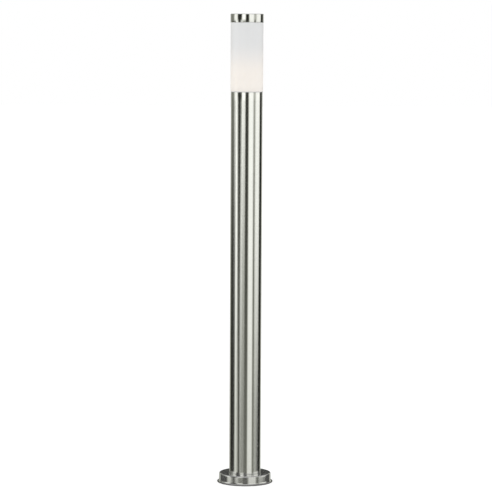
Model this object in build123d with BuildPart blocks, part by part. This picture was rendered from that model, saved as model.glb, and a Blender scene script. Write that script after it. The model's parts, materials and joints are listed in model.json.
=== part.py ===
"""Bollard light: a slim steel post with an opal head that unscrews, a screw-in lamp and a sliding base cover.

Units are millimetres. +Z is up, and the origin is the centre of the foot, on the ground.
"""

from build123d import *

import os
from math import cos, radians, sin, sqrt

os.makedirs("parts", exist_ok=True)

# ---------------------------------------------------------------- driving dimensions

TOTAL_HEIGHT = 1100
POLE_RADIUS = 37.0
POLE_WALL = 1.2
POLE_TOP = 917.4
DIFFUSER_RADIUS = 38.0
DIFFUSER_WALL = 2.6
CAP_RADIUS = 38.4
CAP_HEIGHT = 20.0
COVER_WALL_RADIUS = 60.4
COVER_SKIRT_RADIUS = 60.8
COVER_FOOT_RADIUS = 65.6
COVER_HEIGHT = 22.0
SLIP = 0.05  # radial gap between pieces that only touch
OVERCUT = 1.0  # how far a cut runs past the surface that it leaves through

# screws: the radius of the shank, the head, and the slot or the hexagon socket that drives it
POLE_SCREW = dict(radius=2.5, head_radius=4.75, head_height=2.7, socket=3.0)
M4_SCREW = dict(radius=2.0, head_radius=3.8, head_height=2.4, slot=1.0)
M3_SCREW = dict(radius=1.5, head_radius=2.6, head_height=1.8, slot=0.8)
CLIP_SCREW = dict(radius=1.5, head_radius=2.1, head_height=1.6, slot=0.7)
CLAMP_SCREW = dict(radius=1.25, head_radius=1.8, head_height=2.6, slot=0.6)
TERMINAL_SCREW = dict(radius=1.25, head_radius=2.0, head_height=1.6, slot=0.6)
M4_HOLE = M4_SCREW["radius"] + SLIP
M3_HOLE = M3_SCREW["radius"] + SLIP
CLAMP_SCREW_HOLE = CLAMP_SCREW["radius"] + SLIP
TERMINAL_SCREW_LENGTH = 2.0

# ground gasket and cast base flange, with the spigot that the pole stands on
GASKET_RADIUS = 57.0
GASKET_THICKNESS = 2.0
GASKET_HOLE_RADIUS = 20.0
FLANGE_RADIUS = 56.0
FLANGE_THICKNESS = 4.0
FLANGE_BOTTOM = GASKET_THICKNESS
FLANGE_TOP = FLANGE_BOTTOM + FLANGE_THICKNESS
FLANGE_EDGE = 1.0
FLANGE_HOLE_RADIUS = 14.0
ANCHOR_COUNT = 3
ANCHOR_CIRCLE_RADIUS = 46.5
ANCHOR_HOLE_RADIUS = 4.5
SPIGOT_RADIUS = 35.6
SPIGOT_WALL = 3.0
SPIGOT_HEIGHT = 24.0
SPIGOT_EDGE = 1.2
PILLAR_THICKNESS = 6.0
PILLAR_WIDTH = 18.0
PILLAR_HOLE_DEPTH = 5.0

# screws that hold the pole on the spigot, under the base cover
POLE_SCREW_ANGLES = (60, 180, 300)
POLE_SCREW_HEIGHT = FLANGE_TOP + 5.5
POLE_SCREW_LENGTH = 4.3

# rubber grommet in the flange, round the supply cable
GROMMET_BORE = 5.0
GROMMET_BOTTOM = 0.4
GROMMET_RIM_RADIUS = 17.0
GROMMET_RIM = 2.0
GROMMET_CONE_RADIUS = 11.0
GROMMET_CONE_FOOT = 3.5
GROMMET_MOUTH_RADIUS = 7.5
GROMMET_HEIGHT = 14.0

# base cover, spun from sheet, and the rubber ring that grips the pole
COVER_SHEET = 1.0
COVER_CORNER = 3.0
COVER_HOLE_RADIUS = 37.7
COVER_FLARE = COVER_FOOT_RADIUS - COVER_SKIRT_RADIUS
COVER_CLEARANCE = 0.2
COVER_RING_RADIUS = 41.0
COVER_RING_HEIGHT = 4.0
COVER_RING_EDGE = 1.0
COVER_RING_TOP = COVER_HEIGHT - 0.2

# terminal bracket, a steel strip that is screwed to the flange's pillar
STRIP = 1.5
BRACKET_FACE = -25.5
BRACKET_BACK = BRACKET_FACE - STRIP
BRACKET_WIDTH = 18.0
BRACKET_BOTTOM = 10.0
BRACKET_TOP = 136.0
BRACKET_CORNER = 2.0
BRACKET_SCREW_HEIGHTS = (15.0, 25.0)
BRACKET_SCREW_LENGTH = 6.0

# earthing: a lug, screw and nut on the terminal bracket and another on the lampholder's bracket
EARTH_HEIGHT = 46.0
EARTH_SCREW_PASS = 3.5
EARTH_NUT_FLATS = 7.0
EARTH_NUT_HEIGHT = 3.2
LUG_SHEET = 0.8
LUG_RADIUS = 4.0
LUG_BARREL = 1.75
LUG_BARREL_START = 4.8
LUG_REACH = 11.0
LUG_CRIMP = 2.0

# terminal block, with a tubular brass clamp for each of its three poles
BLOCK_DEPTH = 17.0
BLOCK_WIDTH = 32.0
BLOCK_BOTTOM = 70.0
BLOCK_HEIGHT = 20.0
BLOCK_CORNER = 1.5
BLOCK_TOP = BLOCK_BOTTOM + BLOCK_HEIGHT
BLOCK_MIDDLE = BLOCK_BOTTOM + BLOCK_HEIGHT / 2
BLOCK_FACE = BRACKET_FACE + BLOCK_DEPTH
BLOCK_COUNTERBORE = 3.0
BLOCK_COUNTERBORE_RADIUS = 2.8
BLOCK_SCREW_PASS = 2.0
BLOCK_GROOVE_WIDTH = 1.2
BLOCK_GROOVE_DEPTH = 2.0
BLOCK_WELL_RADIUS = 2.0
POLE_PITCH = 10.0
POLE_COUNT = 3
CLAMP_X = BRACKET_FACE + 8.5
CLAMP_RADIUS = 3.0
CLAMP_BORE = 1.7
CLAMP_INSET = 1.0
CLAMP_SCREW_STAND = 0.4

# cable, its clip, and the wires
WIRE_RADIUS = 1.15
WIRE_STUB = 4.5
WIRE_IN_CLAMP = 5.0
JUMPER_IN_CLAMP = 4.0
WIRE_IN_TERMINAL = 3.0
SHEATH_RADIUS = 4.0
SHEATH_BORE = 3.1
SHEATH_BOTTOM = 120.0
SHEATH_TOP = 800.0
SHEATH_X = BRACKET_FACE + SHEATH_RADIUS + SLIP
CORE_OFFSET = 1.5
CLIP_SHEET = 0.8
CLIP_HEIGHT = 127.0
CLIP_WIDTH = 10.0
CLIP_EAR = 9.0
CLIP_SCREW_Y = 7.0
CLIP_SCREW_LENGTH = 4.0

# thread of the head: the collar's ridges stand outwards, the carrier's inwards between them
FLANK_GAP = 0.15
CREST_GAP = 0.2
HEAD_PITCH = 4.0
HEAD_ROOT = 32.4
HEAD_CREST = 33.4
HEAD_RIDGE_BASE = 2.4
HEAD_RIDGE_TIP = 1.2
HEAD_THREAD_START = 906.2
HEAD_TURNS = 2.5
CARRIER_TURNS = HEAD_TURNS + 0.4

# carrier in the top of the pole
CARRIER_RADIUS = 35.7
CARRIER_RIM = 1.6
CARRIER_TOP = POLE_TOP + CARRIER_RIM
CARRIER_BOTTOM = 884.0
CARRIER_BORE = 31.5
CARRIER_SHOULDER = 902.5
CARRIER_ROOT = HEAD_CREST + CREST_GAP
CARRIER_CREST = HEAD_ROOT + CREST_GAP
LEDGE_THICKNESS = 4.0
LEDGE_TOP = CARRIER_BOTTOM + LEDGE_THICKNESS
LEDGE_RADIUS = 25.5

# head: seal, collar, diffuser and cap
SEAL_THICKNESS = 1.4
SEAL_TOP = CARRIER_TOP + SEAL_THICKNESS
SEAL_LAP = 0.4
COLLAR_BORE = 30.8
COLLAR_BOTTOM = 904.0
COLLAR_TOP = SEAL_TOP + 12.0
COLLAR_LEAD = 0.6
COLLAR_EDGE = 1.0
DIFFUSER_BORE = DIFFUSER_RADIUS - DIFFUSER_WALL
DIFFUSER_EDGE = 0.4
DIFFUSER_CORNER = 3.0
CAP_BOTTOM = TOTAL_HEIGHT - CAP_HEIGHT
CAP_SHEET = 0.8
CAP_CORNER = 1.6
CAP_GASKET = 1.0
CAP_GASKET_BORE = 26.0
CAP_GASKET_INSET = 1.5
DIFFUSER_TOP = TOTAL_HEIGHT - CAP_SHEET - CAP_GASKET
NECK_RADIUS = CAP_RADIUS - CAP_SHEET - 0.15
NECK_EDGE = 1.0
STUD_RADIUS = 2.5
STUD_LENGTH = 14.0
STUD_EDGE = 0.6
STUD_HOLE = 2.7
STUD_PLATE_RADIUS = 6.0
STUD_PLATE = 0.7
CAP_NUT_FLATS = 8.0
CAP_NUT_HEIGHT = 4.0
WASHER_RADIUS = 8.0
WASHER_THICKNESS = 1.1
WASHER_BOTTOM = DIFFUSER_TOP - DIFFUSER_WALL - WASHER_THICKNESS

# lampholder's bracket, a strip bent into a cradle under the carrier's ledge
CRADLE_INSIDE = 22.0
CRADLE_WIDTH = 16.0
CRADLE_TAB_END = 30.0
CRADLE_BOTTOM = 852.0
TAB_SCREW_X = 27.4

# porcelain lampholder
HOLDER_BOTTOM = CRADLE_BOTTOM + STRIP
HOLDER_RADIUS = 20.0
HOLDER_STEP = 870.0
HOLDER_SLOPE = 2.0
HOLDER_NECK_RADIUS = 18.0
HOLDER_TOP = 898.0
HOLDER_EDGE = 1.0
HOLDER_SCREW_X = 11.0
HOLDER_SCREW_DEPTH = 8.0
SOCKET_RADIUS = 14.3
SOCKET_FLOOR = 868.0
NUT_RECESS_RADIUS = 6.0
NUT_RECESS = 4.0
TERMINAL_Y = 14.0
TERMINAL_BOTTOM = 855.5
TERMINAL_TOP = 863.5
TERMINAL_DEPTH = 6.0
TERMINAL_WIDTH = 7.0
TERMINAL_FACE = TERMINAL_Y + TERMINAL_DEPTH / 2
TERMINAL_SCREW_HEIGHT = TERMINAL_TOP - 3.0
TERMINAL_SCREW_STAND = 0.2
POCKET_SIDE_GAP = 0.5
POCKET_HEADROOM = 1.0

# sprung centre contact
CONTACT_STRIP = 0.8
CONTACT_STRIP_BOTTOM = 859.0
CONTACT_STRIP_TOP = CONTACT_STRIP_BOTTOM + CONTACT_STRIP
CONTACT_STRIP_WIDTH = 6.0
CONTACT_STRIP_LENGTH = 15.0
CONTACT_STRIP_Y = -3.5
CONTACT_SLOT_SIDE_GAP = 0.1
CONTACT_SLOT_END_GAP = 0.6
CONTACT_POCKET = 4.6
CONTACT_TOP = 872.0
CONTACT_HEAD_RADIUS = 4.0
CONTACT_HEAD = 2.5
CONTACT_EDGE = 0.8
CONTACT_STEM_RADIUS = 2.0
CONTACT_STEM_GAP = 1.5
SPRING_WIRE = 0.45
SPRING_RADIUS = 3.2
SPRING_COILS = 4
SPRING_GAP = 0.02

# Edison thread of the lamp and its holder
LAMP_PITCH = 3.629
LAMP_ROOT = 12.1
LAMP_CREST = 13.15
LAMP_RIDGE_BASE = 2.4
LAMP_RIDGE_TIP = 0.8
LAMP_THREAD_START = 880.5
LAMP_TURNS = 4
SHELL_ROOT = 13.3
SHELL_CREST = 12.3
SHELL_TURNS = LAMP_TURNS + 0.5
SHELL_RADIUS = 14.2
SHELL_BOTTOM = 874.5
SHELL_TOP = 897.0
TAIL_WIDTH = 5.0
TAIL_SHEET = 0.7
TAIL_Y = SHELL_ROOT + TAIL_SHEET / 2
TAIL_GAP = 0.1

# lamp: contact tip, insulator, screw cap, housing, globe and boards
TIP_RADIUS = 4.4
TIP_THICKNESS = 1.6
TIP_EDGE = 1.2
INSULATOR_RADIUS = 9.8
INSULATOR_FOOT_RADIUS = TIP_RADIUS + 0.2
INSULATOR_TOP = 878.6
INSULATOR_BAND = 2.0
LAMP_CAP_TOP = 900.0
LAMP_CAP_SHEET = 0.6
LAMP_CAP_CURL = 1.0
LAMP_CAP_CONE = 0.2
HOUSING_TOP = 932.0
HOUSING_TOP_RADIUS = 24.3
HOUSING_NECK = 13.0
HOUSING_WAIST_RADIUS = 17.2
HOUSING_WAIST_HEIGHT = LAMP_CAP_TOP + 13.0
HOUSING_LEAN = (0.75, 1)
HOUSING_WALL = 1.5
HOUSING_PLUG = LAMP_ROOT - LAMP_CAP_SHEET - SLIP
HOUSING_PLUG_DEPTH = 5.0
HOUSING_SEAT = HOUSING_TOP - 2.0
HOUSING_SEAT_RADIUS = 21.6
HOUSING_SEAT_WIDTH = 1.2
GLOBE_RADIUS = 30.0
GLOBE_CENTRE = 950.0
GLOBE_WALL = 1.2
LED_BOARD_RADIUS = HOUSING_SEAT_RADIUS - SLIP
LED_BOARD = 1.2
LED_BOARD_HOLE_Y = 7.0
LED_BOARD_HOLE_RADIUS = 1.0
LED_SIZE = 2.8
LED_HEIGHT = 0.7
LED_CIRCLE = 14.0
LED_COUNT = 8
DRIVER_SHEET = 1.6
DRIVER_WIDTH = 17.0
DRIVER_BOTTOM = LAMP_CAP_TOP - 14.0
DRIVER_TOP = HOUSING_SEAT - 1.0
DRIVER_SINK = 0.2
CAPACITOR_RADIUS = 4.0
CAPACITOR_HEIGHT = 15.0
CAPACITOR_BOTTOM = LAMP_CAP_TOP + 8.0
COIL_DEPTH = 7.8
COIL_SIDE = 9.0
COIL_CORNER = 1.0
COIL_BOTTOM = LAMP_CAP_TOP + 9.0


# ---------------------------------------------------------------- helpers


def write(piece, name):
    """Labels a finished piece and writes it as its own STEP file."""
    piece.part.label = name
    export_step(piece.part, f"parts/{name}.step")


def both_sides(distance):
    """The two places at equal distances either side of a plane's middle."""
    return (-distance, 0), (distance, 0)


def facing(angle, height, distance, sideways=0.0):
    """The upright plane that faces outwards at an angle, at a height and a distance from the axis."""
    outwards = Vector(cos(radians(angle)), sin(radians(angle)), 0)
    across = Vector(-sin(radians(angle)), cos(radians(angle)), 0)
    origin = outwards * distance + across * sideways + Vector(0, 0, height)
    return Plane(origin=origin, x_dir=across, z_dir=outwards)


def bits(plane, radius, depth, places=((0, 0),)):
    """Plain round bits that start on a plane and run behind it, for cutting holes."""
    with BuildPart() as cutters:
        with BuildSketch(plane):
            with Locations(*places):
                Circle(radius)
        extrude(amount=-depth)
    return cutters.part


def turned(*corners):
    """A solid turned round the Z axis from a straight-sided section."""
    with BuildPart() as solid:
        with BuildSketch(Plane.XZ):
            with BuildLine():
                Polyline(*corners, close=True)
            make_face()
        revolve(axis=Axis.Z)
    return solid.part


def ring_between(bottom, top, outer, inner):
    """A plain ring standing between two heights."""
    with BuildPart() as ring:
        with BuildSketch(Plane.XY.offset(bottom)):
            Circle(outer)
            Circle(inner, mode=Mode.SUBTRACT)
        extrude(amount=top - bottom)
    return ring.part


def hexagon_nut(plane, flats, height, bore):
    """A nut that stands behind a plane."""
    with BuildPart() as nut:
        with BuildSketch(plane):
            RegularPolygon(radius=flats / 2, side_count=6, major_radius=False)
            Circle(bore, mode=Mode.SUBTRACT)
        extrude(amount=-height)
    return nut.part


def headed_screw(plane, length, radius, head_radius, head_height, slot=0.0, socket=0.0):
    """A screw whose head stands on the plane and whose shank runs behind it, with a slot or a hexagon."""
    with BuildPart() as screw:
        with BuildSketch(plane):
            Circle(radius)
        extrude(amount=-length)
        with BuildSketch(plane):
            Circle(head_radius)
        extrude(amount=head_height)
        if slot:
            with BuildSketch(plane.offset(head_height)):
                Rectangle(2 * head_radius, slot)
            extrude(amount=-head_height / 2, mode=Mode.SUBTRACT)
        if socket:
            with BuildSketch(plane.offset(head_height)):
                RegularPolygon(radius=socket / 2, side_count=6, major_radius=False)
            extrude(amount=-head_height * 0.6, mode=Mode.SUBTRACT)
    return screw.part


def thread_ridge(base_radius, tip_radius, pitch, turns, base_width, tip_width, start):
    """A helical ridge that stands on a cylinder: outwards if its tip radius is larger, inwards if smaller.

    It sinks a little into the cylinder, so that the two fuse into one solid.
    """
    sink = 0.3
    rise = tip_radius - base_radius
    side = 1 if rise > 0 else -1
    flank = (base_width - tip_width) / 2 / abs(rise)
    inner_half = base_width / 2 + flank * sink
    with BuildPart() as ridge:
        with BuildLine() as path:
            Helix(pitch=pitch, height=pitch * turns, radius=base_radius, center=(0, 0, start))
        with BuildSketch(Plane(origin=path.line @ 0, x_dir=(1, 0, 0), z_dir=path.line % 0)):
            with BuildLine():
                Polyline(
                    (-side * sink, -inner_half),
                    (rise, -tip_width / 2),
                    (rise, tip_width / 2),
                    (-side * sink, inner_half),
                    close=True,
                )
            make_face()
        sweep(is_frenet=True)
    return ridge.part


def matching_tip_width(pitch, base_width, tip_width, root, crest, inner_crest):
    """The tip width of an inward ridge that runs midway between outward ridges, a flank gap from both."""
    flank = (base_width - tip_width) / 2 / (crest - root)
    half_width_there = base_width / 2 - flank * (inner_crest - root)
    return 2 * (pitch / 2 - half_width_there - FLANK_GAP)


def wire_along(start, start_dir, run, end, end_dir):
    """A round wire between two terminals, straight for a short way inside each.

    The run holds the two ends of the straight stretch inside the sheath, or is None.
    """
    start = Vector(*start)
    end = Vector(*end)
    start_dir = Vector(*start_dir)
    end_dir = Vector(*end_dir)
    leaves = start + start_dir * WIRE_STUB
    arrives = end - end_dir * WIRE_STUB
    with BuildPart() as wire:
        with BuildLine():
            Line(start, leaves)
            if run:
                Spline(leaves, run[0], tangents=(start_dir, (0, 0, 1)))
                Line(run[0], run[1])
                Spline(run[1], arrives, tangents=((0, 0, 1), end_dir))
            else:
                Spline(leaves, arrives, tangents=(start_dir, end_dir))
            Line(arrives, end)
        with BuildSketch(Plane(origin=start, z_dir=start_dir)):
            Circle(WIRE_RADIUS)
        sweep()
    return wire.part


# ---------------------------------------------------------------- foot

with BuildPart() as ground_gasket:
    with BuildSketch():
        Circle(GASKET_RADIUS)
        Circle(GASKET_HOLE_RADIUS, mode=Mode.SUBTRACT)
        with PolarLocations(ANCHOR_CIRCLE_RADIUS, ANCHOR_COUNT):
            Circle(ANCHOR_HOLE_RADIUS, mode=Mode.SUBTRACT)
    extrude(amount=GASKET_THICKNESS)
write(ground_gasket, "ground_gasket")

with BuildPart() as base_flange:
    with BuildSketch(Plane.XY.offset(FLANGE_BOTTOM)):
        Circle(FLANGE_RADIUS)
        Circle(FLANGE_HOLE_RADIUS, mode=Mode.SUBTRACT)
        with PolarLocations(ANCHOR_CIRCLE_RADIUS, ANCHOR_COUNT):
            Circle(ANCHOR_HOLE_RADIUS, mode=Mode.SUBTRACT)
    extrude(amount=FLANGE_THICKNESS)
    chamfer(base_flange.edges().group_by(Axis.Z)[-1].sort_by(SortBy.RADIUS)[-1], length=FLANGE_EDGE)
    # spigot
    with BuildSketch(Plane.XY.offset(FLANGE_TOP)):
        Circle(SPIGOT_RADIUS)
        Circle(SPIGOT_RADIUS - SPIGOT_WALL, mode=Mode.SUBTRACT)
    extrude(amount=SPIGOT_HEIGHT)
    chamfer(base_flange.edges().group_by(Axis.Z)[-1].sort_by(SortBy.RADIUS)[-1], length=SPIGOT_EDGE)
    # pillar behind the terminal bracket
    with BuildSketch(Plane.XY.offset(FLANGE_TOP)):
        with Locations((BRACKET_BACK - PILLAR_THICKNESS / 2, 0)):
            Rectangle(PILLAR_THICKNESS, PILLAR_WIDTH)
    extrude(amount=SPIGOT_HEIGHT)
    for height in BRACKET_SCREW_HEIGHTS:
        add(bits(facing(0, height, BRACKET_BACK), M4_HOLE, PILLAR_HOLE_DEPTH), mode=Mode.SUBTRACT)
    for angle in POLE_SCREW_ANGLES:
        outside = facing(angle, POLE_SCREW_HEIGHT, SPIGOT_RADIUS + OVERCUT)
        add(bits(outside, POLE_SCREW["radius"] + SLIP, SPIGOT_WALL + 2 * OVERCUT), mode=Mode.SUBTRACT)
write(base_flange, "base_flange")

with BuildPart() as pole:
    add(ring_between(FLANGE_TOP, POLE_TOP, POLE_RADIUS, POLE_RADIUS - POLE_WALL))
    for angle in POLE_SCREW_ANGLES:
        outside = facing(angle, POLE_SCREW_HEIGHT, POLE_RADIUS + OVERCUT)
        add(bits(outside, POLE_SCREW["radius"] + 2 * SLIP, POLE_WALL + 2 * OVERCUT), mode=Mode.SUBTRACT)
write(pole, "pole")

with BuildPart() as pole_screws:
    for angle in POLE_SCREW_ANGLES:
        on_pole = facing(angle, POLE_SCREW_HEIGHT, POLE_RADIUS + SLIP)
        add(headed_screw(on_pole, POLE_SCREW_LENGTH, **POLE_SCREW))
write(pole_screws, "pole_screws")

with BuildPart() as cable_grommet:
    add(
        turned(
            (GROMMET_BORE, GROMMET_BOTTOM),
            (GROMMET_RIM_RADIUS, GROMMET_BOTTOM),
            (GROMMET_RIM_RADIUS, FLANGE_BOTTOM),
            (FLANGE_HOLE_RADIUS - SLIP, FLANGE_BOTTOM),
            (FLANGE_HOLE_RADIUS - SLIP, FLANGE_TOP),
            (GROMMET_RIM_RADIUS, FLANGE_TOP),
            (GROMMET_RIM_RADIUS, FLANGE_TOP + GROMMET_RIM),
            (GROMMET_CONE_RADIUS, FLANGE_TOP + GROMMET_CONE_FOOT),
            (GROMMET_MOUTH_RADIUS, FLANGE_TOP + GROMMET_HEIGHT),
            (GROMMET_BORE, FLANGE_TOP + GROMMET_HEIGHT),
        )
    )
write(cable_grommet, "cable_grommet")

# ---------------------------------------------------------------- base cover, which slides up the pole

with BuildPart() as base_cover:
    with BuildSketch(Plane.XZ):
        with BuildLine():
            corner_start = (COVER_WALL_RADIUS - COVER_CORNER, COVER_HEIGHT)
            flare_start = (COVER_SKIRT_RADIUS, COVER_CLEARANCE + COVER_SHEET + COVER_FLARE)
            foot = (COVER_FOOT_RADIUS, COVER_CLEARANCE + COVER_SHEET)
            Line((COVER_HOLE_RADIUS, COVER_HEIGHT), corner_start)
            RadiusArc(corner_start, (COVER_WALL_RADIUS, COVER_HEIGHT - COVER_CORNER), COVER_CORNER)
            Line((COVER_WALL_RADIUS, COVER_HEIGHT - COVER_CORNER), flare_start)
            RadiusArc(flare_start, foot, -COVER_FLARE)
            offset(amount=COVER_SHEET, side=Side.RIGHT)
        make_face()
    revolve(axis=Axis.Z)
write(base_cover, "base_cover")

with BuildPart() as cover_ring:
    under_sheet = COVER_HEIGHT - COVER_SHEET
    ring_bottom = under_sheet - COVER_RING_HEIGHT
    add(
        turned(
            (POLE_RADIUS + SLIP, ring_bottom),
            (COVER_RING_RADIUS - COVER_RING_EDGE, ring_bottom),
            (COVER_RING_RADIUS, ring_bottom + COVER_RING_EDGE),
            (COVER_RING_RADIUS, under_sheet),
            (COVER_HOLE_RADIUS - SLIP, under_sheet),
            (COVER_HOLE_RADIUS - SLIP, COVER_RING_TOP),
            (POLE_RADIUS + SLIP, COVER_RING_TOP),
        )
    )
write(cover_ring, "cover_ring")

# ---------------------------------------------------------------- terminal bracket, block and earthing

with BuildPart() as terminal_bracket:
    with BuildSketch(facing(0, (BRACKET_BOTTOM + BRACKET_TOP) / 2, BRACKET_BACK)):
        RectangleRounded(BRACKET_WIDTH, BRACKET_TOP - BRACKET_BOTTOM, radius=BRACKET_CORNER)
    extrude(amount=STRIP)
    for height in (*BRACKET_SCREW_HEIGHTS, EARTH_HEIGHT):
        add(bits(facing(0, height, BRACKET_FACE), M4_HOLE, STRIP), mode=Mode.SUBTRACT)
    for height, distance in ((CLIP_HEIGHT, CLIP_SCREW_Y), (BLOCK_MIDDLE, POLE_PITCH / 2)):
        add(bits(facing(0, height, BRACKET_FACE), M3_HOLE, STRIP, both_sides(distance)), mode=Mode.SUBTRACT)
write(terminal_bracket, "terminal_bracket")

with BuildPart() as bracket_screws:
    for height in BRACKET_SCREW_HEIGHTS:
        add(headed_screw(facing(0, height, BRACKET_FACE), BRACKET_SCREW_LENGTH, **M4_SCREW))
write(bracket_screws, "terminal_bracket_screws")

block_front = facing(0, BLOCK_MIDDLE, BLOCK_FACE)
between_poles = both_sides(POLE_PITCH / 2)

with BuildPart() as terminal_block:
    with BuildSketch(Plane.XY.offset(BLOCK_BOTTOM)):
        with Locations((BRACKET_FACE + BLOCK_DEPTH / 2, 0)):
            RectangleRounded(BLOCK_DEPTH, BLOCK_WIDTH, radius=BLOCK_CORNER)
        with Locations((CLAMP_X, 0)):
            with GridLocations(1, POLE_PITCH, 1, POLE_COUNT):
                Circle(CLAMP_RADIUS + SLIP, mode=Mode.SUBTRACT)
    extrude(amount=BLOCK_HEIGHT)
    # wells down to the clamp screws
    with BuildSketch(block_front):
        with GridLocations(POLE_PITCH, POLE_PITCH, POLE_COUNT, 2):
            Circle(BLOCK_WELL_RADIUS)
    extrude(amount=CLAMP_X - BLOCK_FACE, mode=Mode.SUBTRACT)
    # counterbored fixing holes and the grooves between the poles
    add(bits(block_front, M3_HOLE, BLOCK_DEPTH, between_poles), mode=Mode.SUBTRACT)
    add(bits(block_front, BLOCK_COUNTERBORE_RADIUS, BLOCK_COUNTERBORE, between_poles), mode=Mode.SUBTRACT)
    with BuildSketch(block_front):
        with Locations(*between_poles):
            Rectangle(BLOCK_GROOVE_WIDTH, BLOCK_HEIGHT)
    extrude(amount=-BLOCK_GROOVE_DEPTH, mode=Mode.SUBTRACT)
write(terminal_block, "terminal_block")

with BuildPart() as terminal_clamps:
    with BuildSketch(Plane.XY.offset(BLOCK_BOTTOM + CLAMP_INSET)):
        with Locations((CLAMP_X, 0)):
            with GridLocations(1, POLE_PITCH, 1, POLE_COUNT):
                Circle(CLAMP_RADIUS)
                Circle(CLAMP_BORE, mode=Mode.SUBTRACT)
    extrude(amount=BLOCK_HEIGHT - 2 * CLAMP_INSET)
    with BuildSketch(facing(0, BLOCK_MIDDLE, CLAMP_X)):
        with GridLocations(POLE_PITCH, POLE_PITCH, POLE_COUNT, 2):
            Circle(CLAMP_SCREW_HOLE)
    extrude(amount=CLAMP_RADIUS + OVERCUT, mode=Mode.SUBTRACT)
write(terminal_clamps, "terminal_clamps")

with BuildPart() as terminal_screws:
    for y in (-POLE_PITCH, 0, POLE_PITCH):
        for height in (BLOCK_MIDDLE - POLE_PITCH / 2, BLOCK_MIDDLE + POLE_PITCH / 2):
            on_clamp = facing(0, height, CLAMP_X + CLAMP_RADIUS + CLAMP_SCREW_STAND, y)
            add(headed_screw(on_clamp, TERMINAL_SCREW_LENGTH, **CLAMP_SCREW))
write(terminal_screws, "terminal_screws")

with BuildPart() as block_screws:
    length = BLOCK_DEPTH - BLOCK_COUNTERBORE + STRIP + BLOCK_SCREW_PASS
    for y in (-POLE_PITCH / 2, POLE_PITCH / 2):
        in_counterbore = facing(0, BLOCK_MIDDLE, BLOCK_FACE - BLOCK_COUNTERBORE, y)
        add(headed_screw(in_counterbore, length, **M3_SCREW))
write(block_screws, "block_fixing_screws")

# the planes of the two earth lugs: each lies on its bracket, and its barrel runs along the plane's own Y
block_earth_plane = facing(0, EARTH_HEIGHT, BRACKET_FACE)
holder_earth_plane = Plane(origin=(0, 0, CRADLE_BOTTOM), x_dir=(-1, -1, 0), z_dir=(0, 0, -1))

with BuildPart() as earth_lugs:
    for plane in (block_earth_plane, holder_earth_plane):
        with BuildSketch(plane):
            Circle(LUG_RADIUS)
            with Locations((0, LUG_RADIUS)):
                Rectangle(2 * LUG_BARREL, LUG_RADIUS)
            Circle(M4_HOLE, mode=Mode.SUBTRACT)
        extrude(amount=LUG_SHEET)
        barrel = Plane(origin=plane.from_local_coords((0, LUG_BARREL_START, LUG_BARREL)), z_dir=plane.y_dir)
        with BuildSketch(barrel):
            Circle(LUG_BARREL)
        extrude(amount=LUG_REACH - LUG_BARREL_START)
        with BuildSketch(barrel.offset(LUG_CRIMP)):
            Circle(WIRE_RADIUS + SLIP)
        extrude(amount=LUG_REACH, mode=Mode.SUBTRACT)
write(earth_lugs, "earth_lugs")

with BuildPart() as earth_screws:
    for plane in (block_earth_plane, holder_earth_plane):
        add(headed_screw(plane.offset(LUG_SHEET), LUG_SHEET + STRIP + EARTH_SCREW_PASS, **M4_SCREW))
write(earth_screws, "earth_screws")

with BuildPart() as earth_nuts:
    for plane in (block_earth_plane, holder_earth_plane):
        add(hexagon_nut(plane.offset(-STRIP), EARTH_NUT_FLATS, EARTH_NUT_HEIGHT, M4_HOLE))
write(earth_nuts, "earth_nuts")

# ---------------------------------------------------------------- cable

with BuildPart() as cable_sheath:
    with BuildSketch(Plane.XY.offset(SHEATH_BOTTOM)):
        with Locations((SHEATH_X, 0)):
            Circle(SHEATH_RADIUS)
            Circle(SHEATH_BORE, mode=Mode.SUBTRACT)
    extrude(amount=SHEATH_TOP - SHEATH_BOTTOM)
write(cable_sheath, "cable_sheath")

with BuildPart() as cable_clip:
    with BuildSketch(Plane.XY.offset(CLIP_HEIGHT - CLIP_WIDTH / 2)):
        bore = SHEATH_RADIUS + SLIP
        with Locations((SHEATH_X, 0)):
            Circle(bore + CLIP_SHEET)
        with Locations((BRACKET_FACE + bore / 2, 0)):
            Rectangle(bore, 2 * (bore + CLIP_SHEET))
        with Locations((BRACKET_FACE + CLIP_SHEET / 2, 0)):
            Rectangle(CLIP_SHEET, 2 * CLIP_EAR)
        with Locations((SHEATH_X, 0)):
            Circle(bore, mode=Mode.SUBTRACT)
        with Locations((BRACKET_FACE + bore / 2, 0)):
            Rectangle(bore, 2 * bore, mode=Mode.SUBTRACT)
    extrude(amount=CLIP_WIDTH)
    ears = facing(0, CLIP_HEIGHT, BRACKET_FACE + CLIP_SHEET)
    add(bits(ears, M3_HOLE, CLIP_SHEET, both_sides(CLIP_SCREW_Y)), mode=Mode.SUBTRACT)
    # trim what the round loop leaves behind the bracket's face
    with BuildSketch(Plane.XY.offset(CLIP_HEIGHT - CLIP_WIDTH)):
        with Locations((BRACKET_BACK, 0)):
            Rectangle(2 * STRIP, 2 * CLIP_EAR)
    extrude(amount=2 * CLIP_WIDTH, mode=Mode.SUBTRACT)
write(cable_clip, "cable_clip")

with BuildPart() as clip_screws:
    for y in (-CLIP_SCREW_Y, CLIP_SCREW_Y):
        on_ear = facing(0, CLIP_HEIGHT, BRACKET_FACE + CLIP_SHEET, y)
        add(headed_screw(on_ear, CLIP_SCREW_LENGTH, **CLIP_SCREW))
write(clip_screws, "cable_clip_screws")


def core(angle):
    """The straight run of one core inside the sheath, as its two ends."""
    x = SHEATH_X + CORE_OFFSET * cos(radians(angle))
    y = CORE_OFFSET * sin(radians(angle))
    return (x, y, SHEATH_BOTTOM), (x, y, SHEATH_TOP)


UP = (0, 0, 1)
wire_start = BLOCK_TOP - WIRE_IN_CLAMP
wire_end = TERMINAL_BOTTOM + WIRE_IN_TERMINAL

with BuildPart() as live_wire:
    add(wire_along((CLAMP_X, -POLE_PITCH, wire_start), UP, core(-90), (0, -TERMINAL_Y, wire_end), UP))
write(live_wire, "live_wire")

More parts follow.
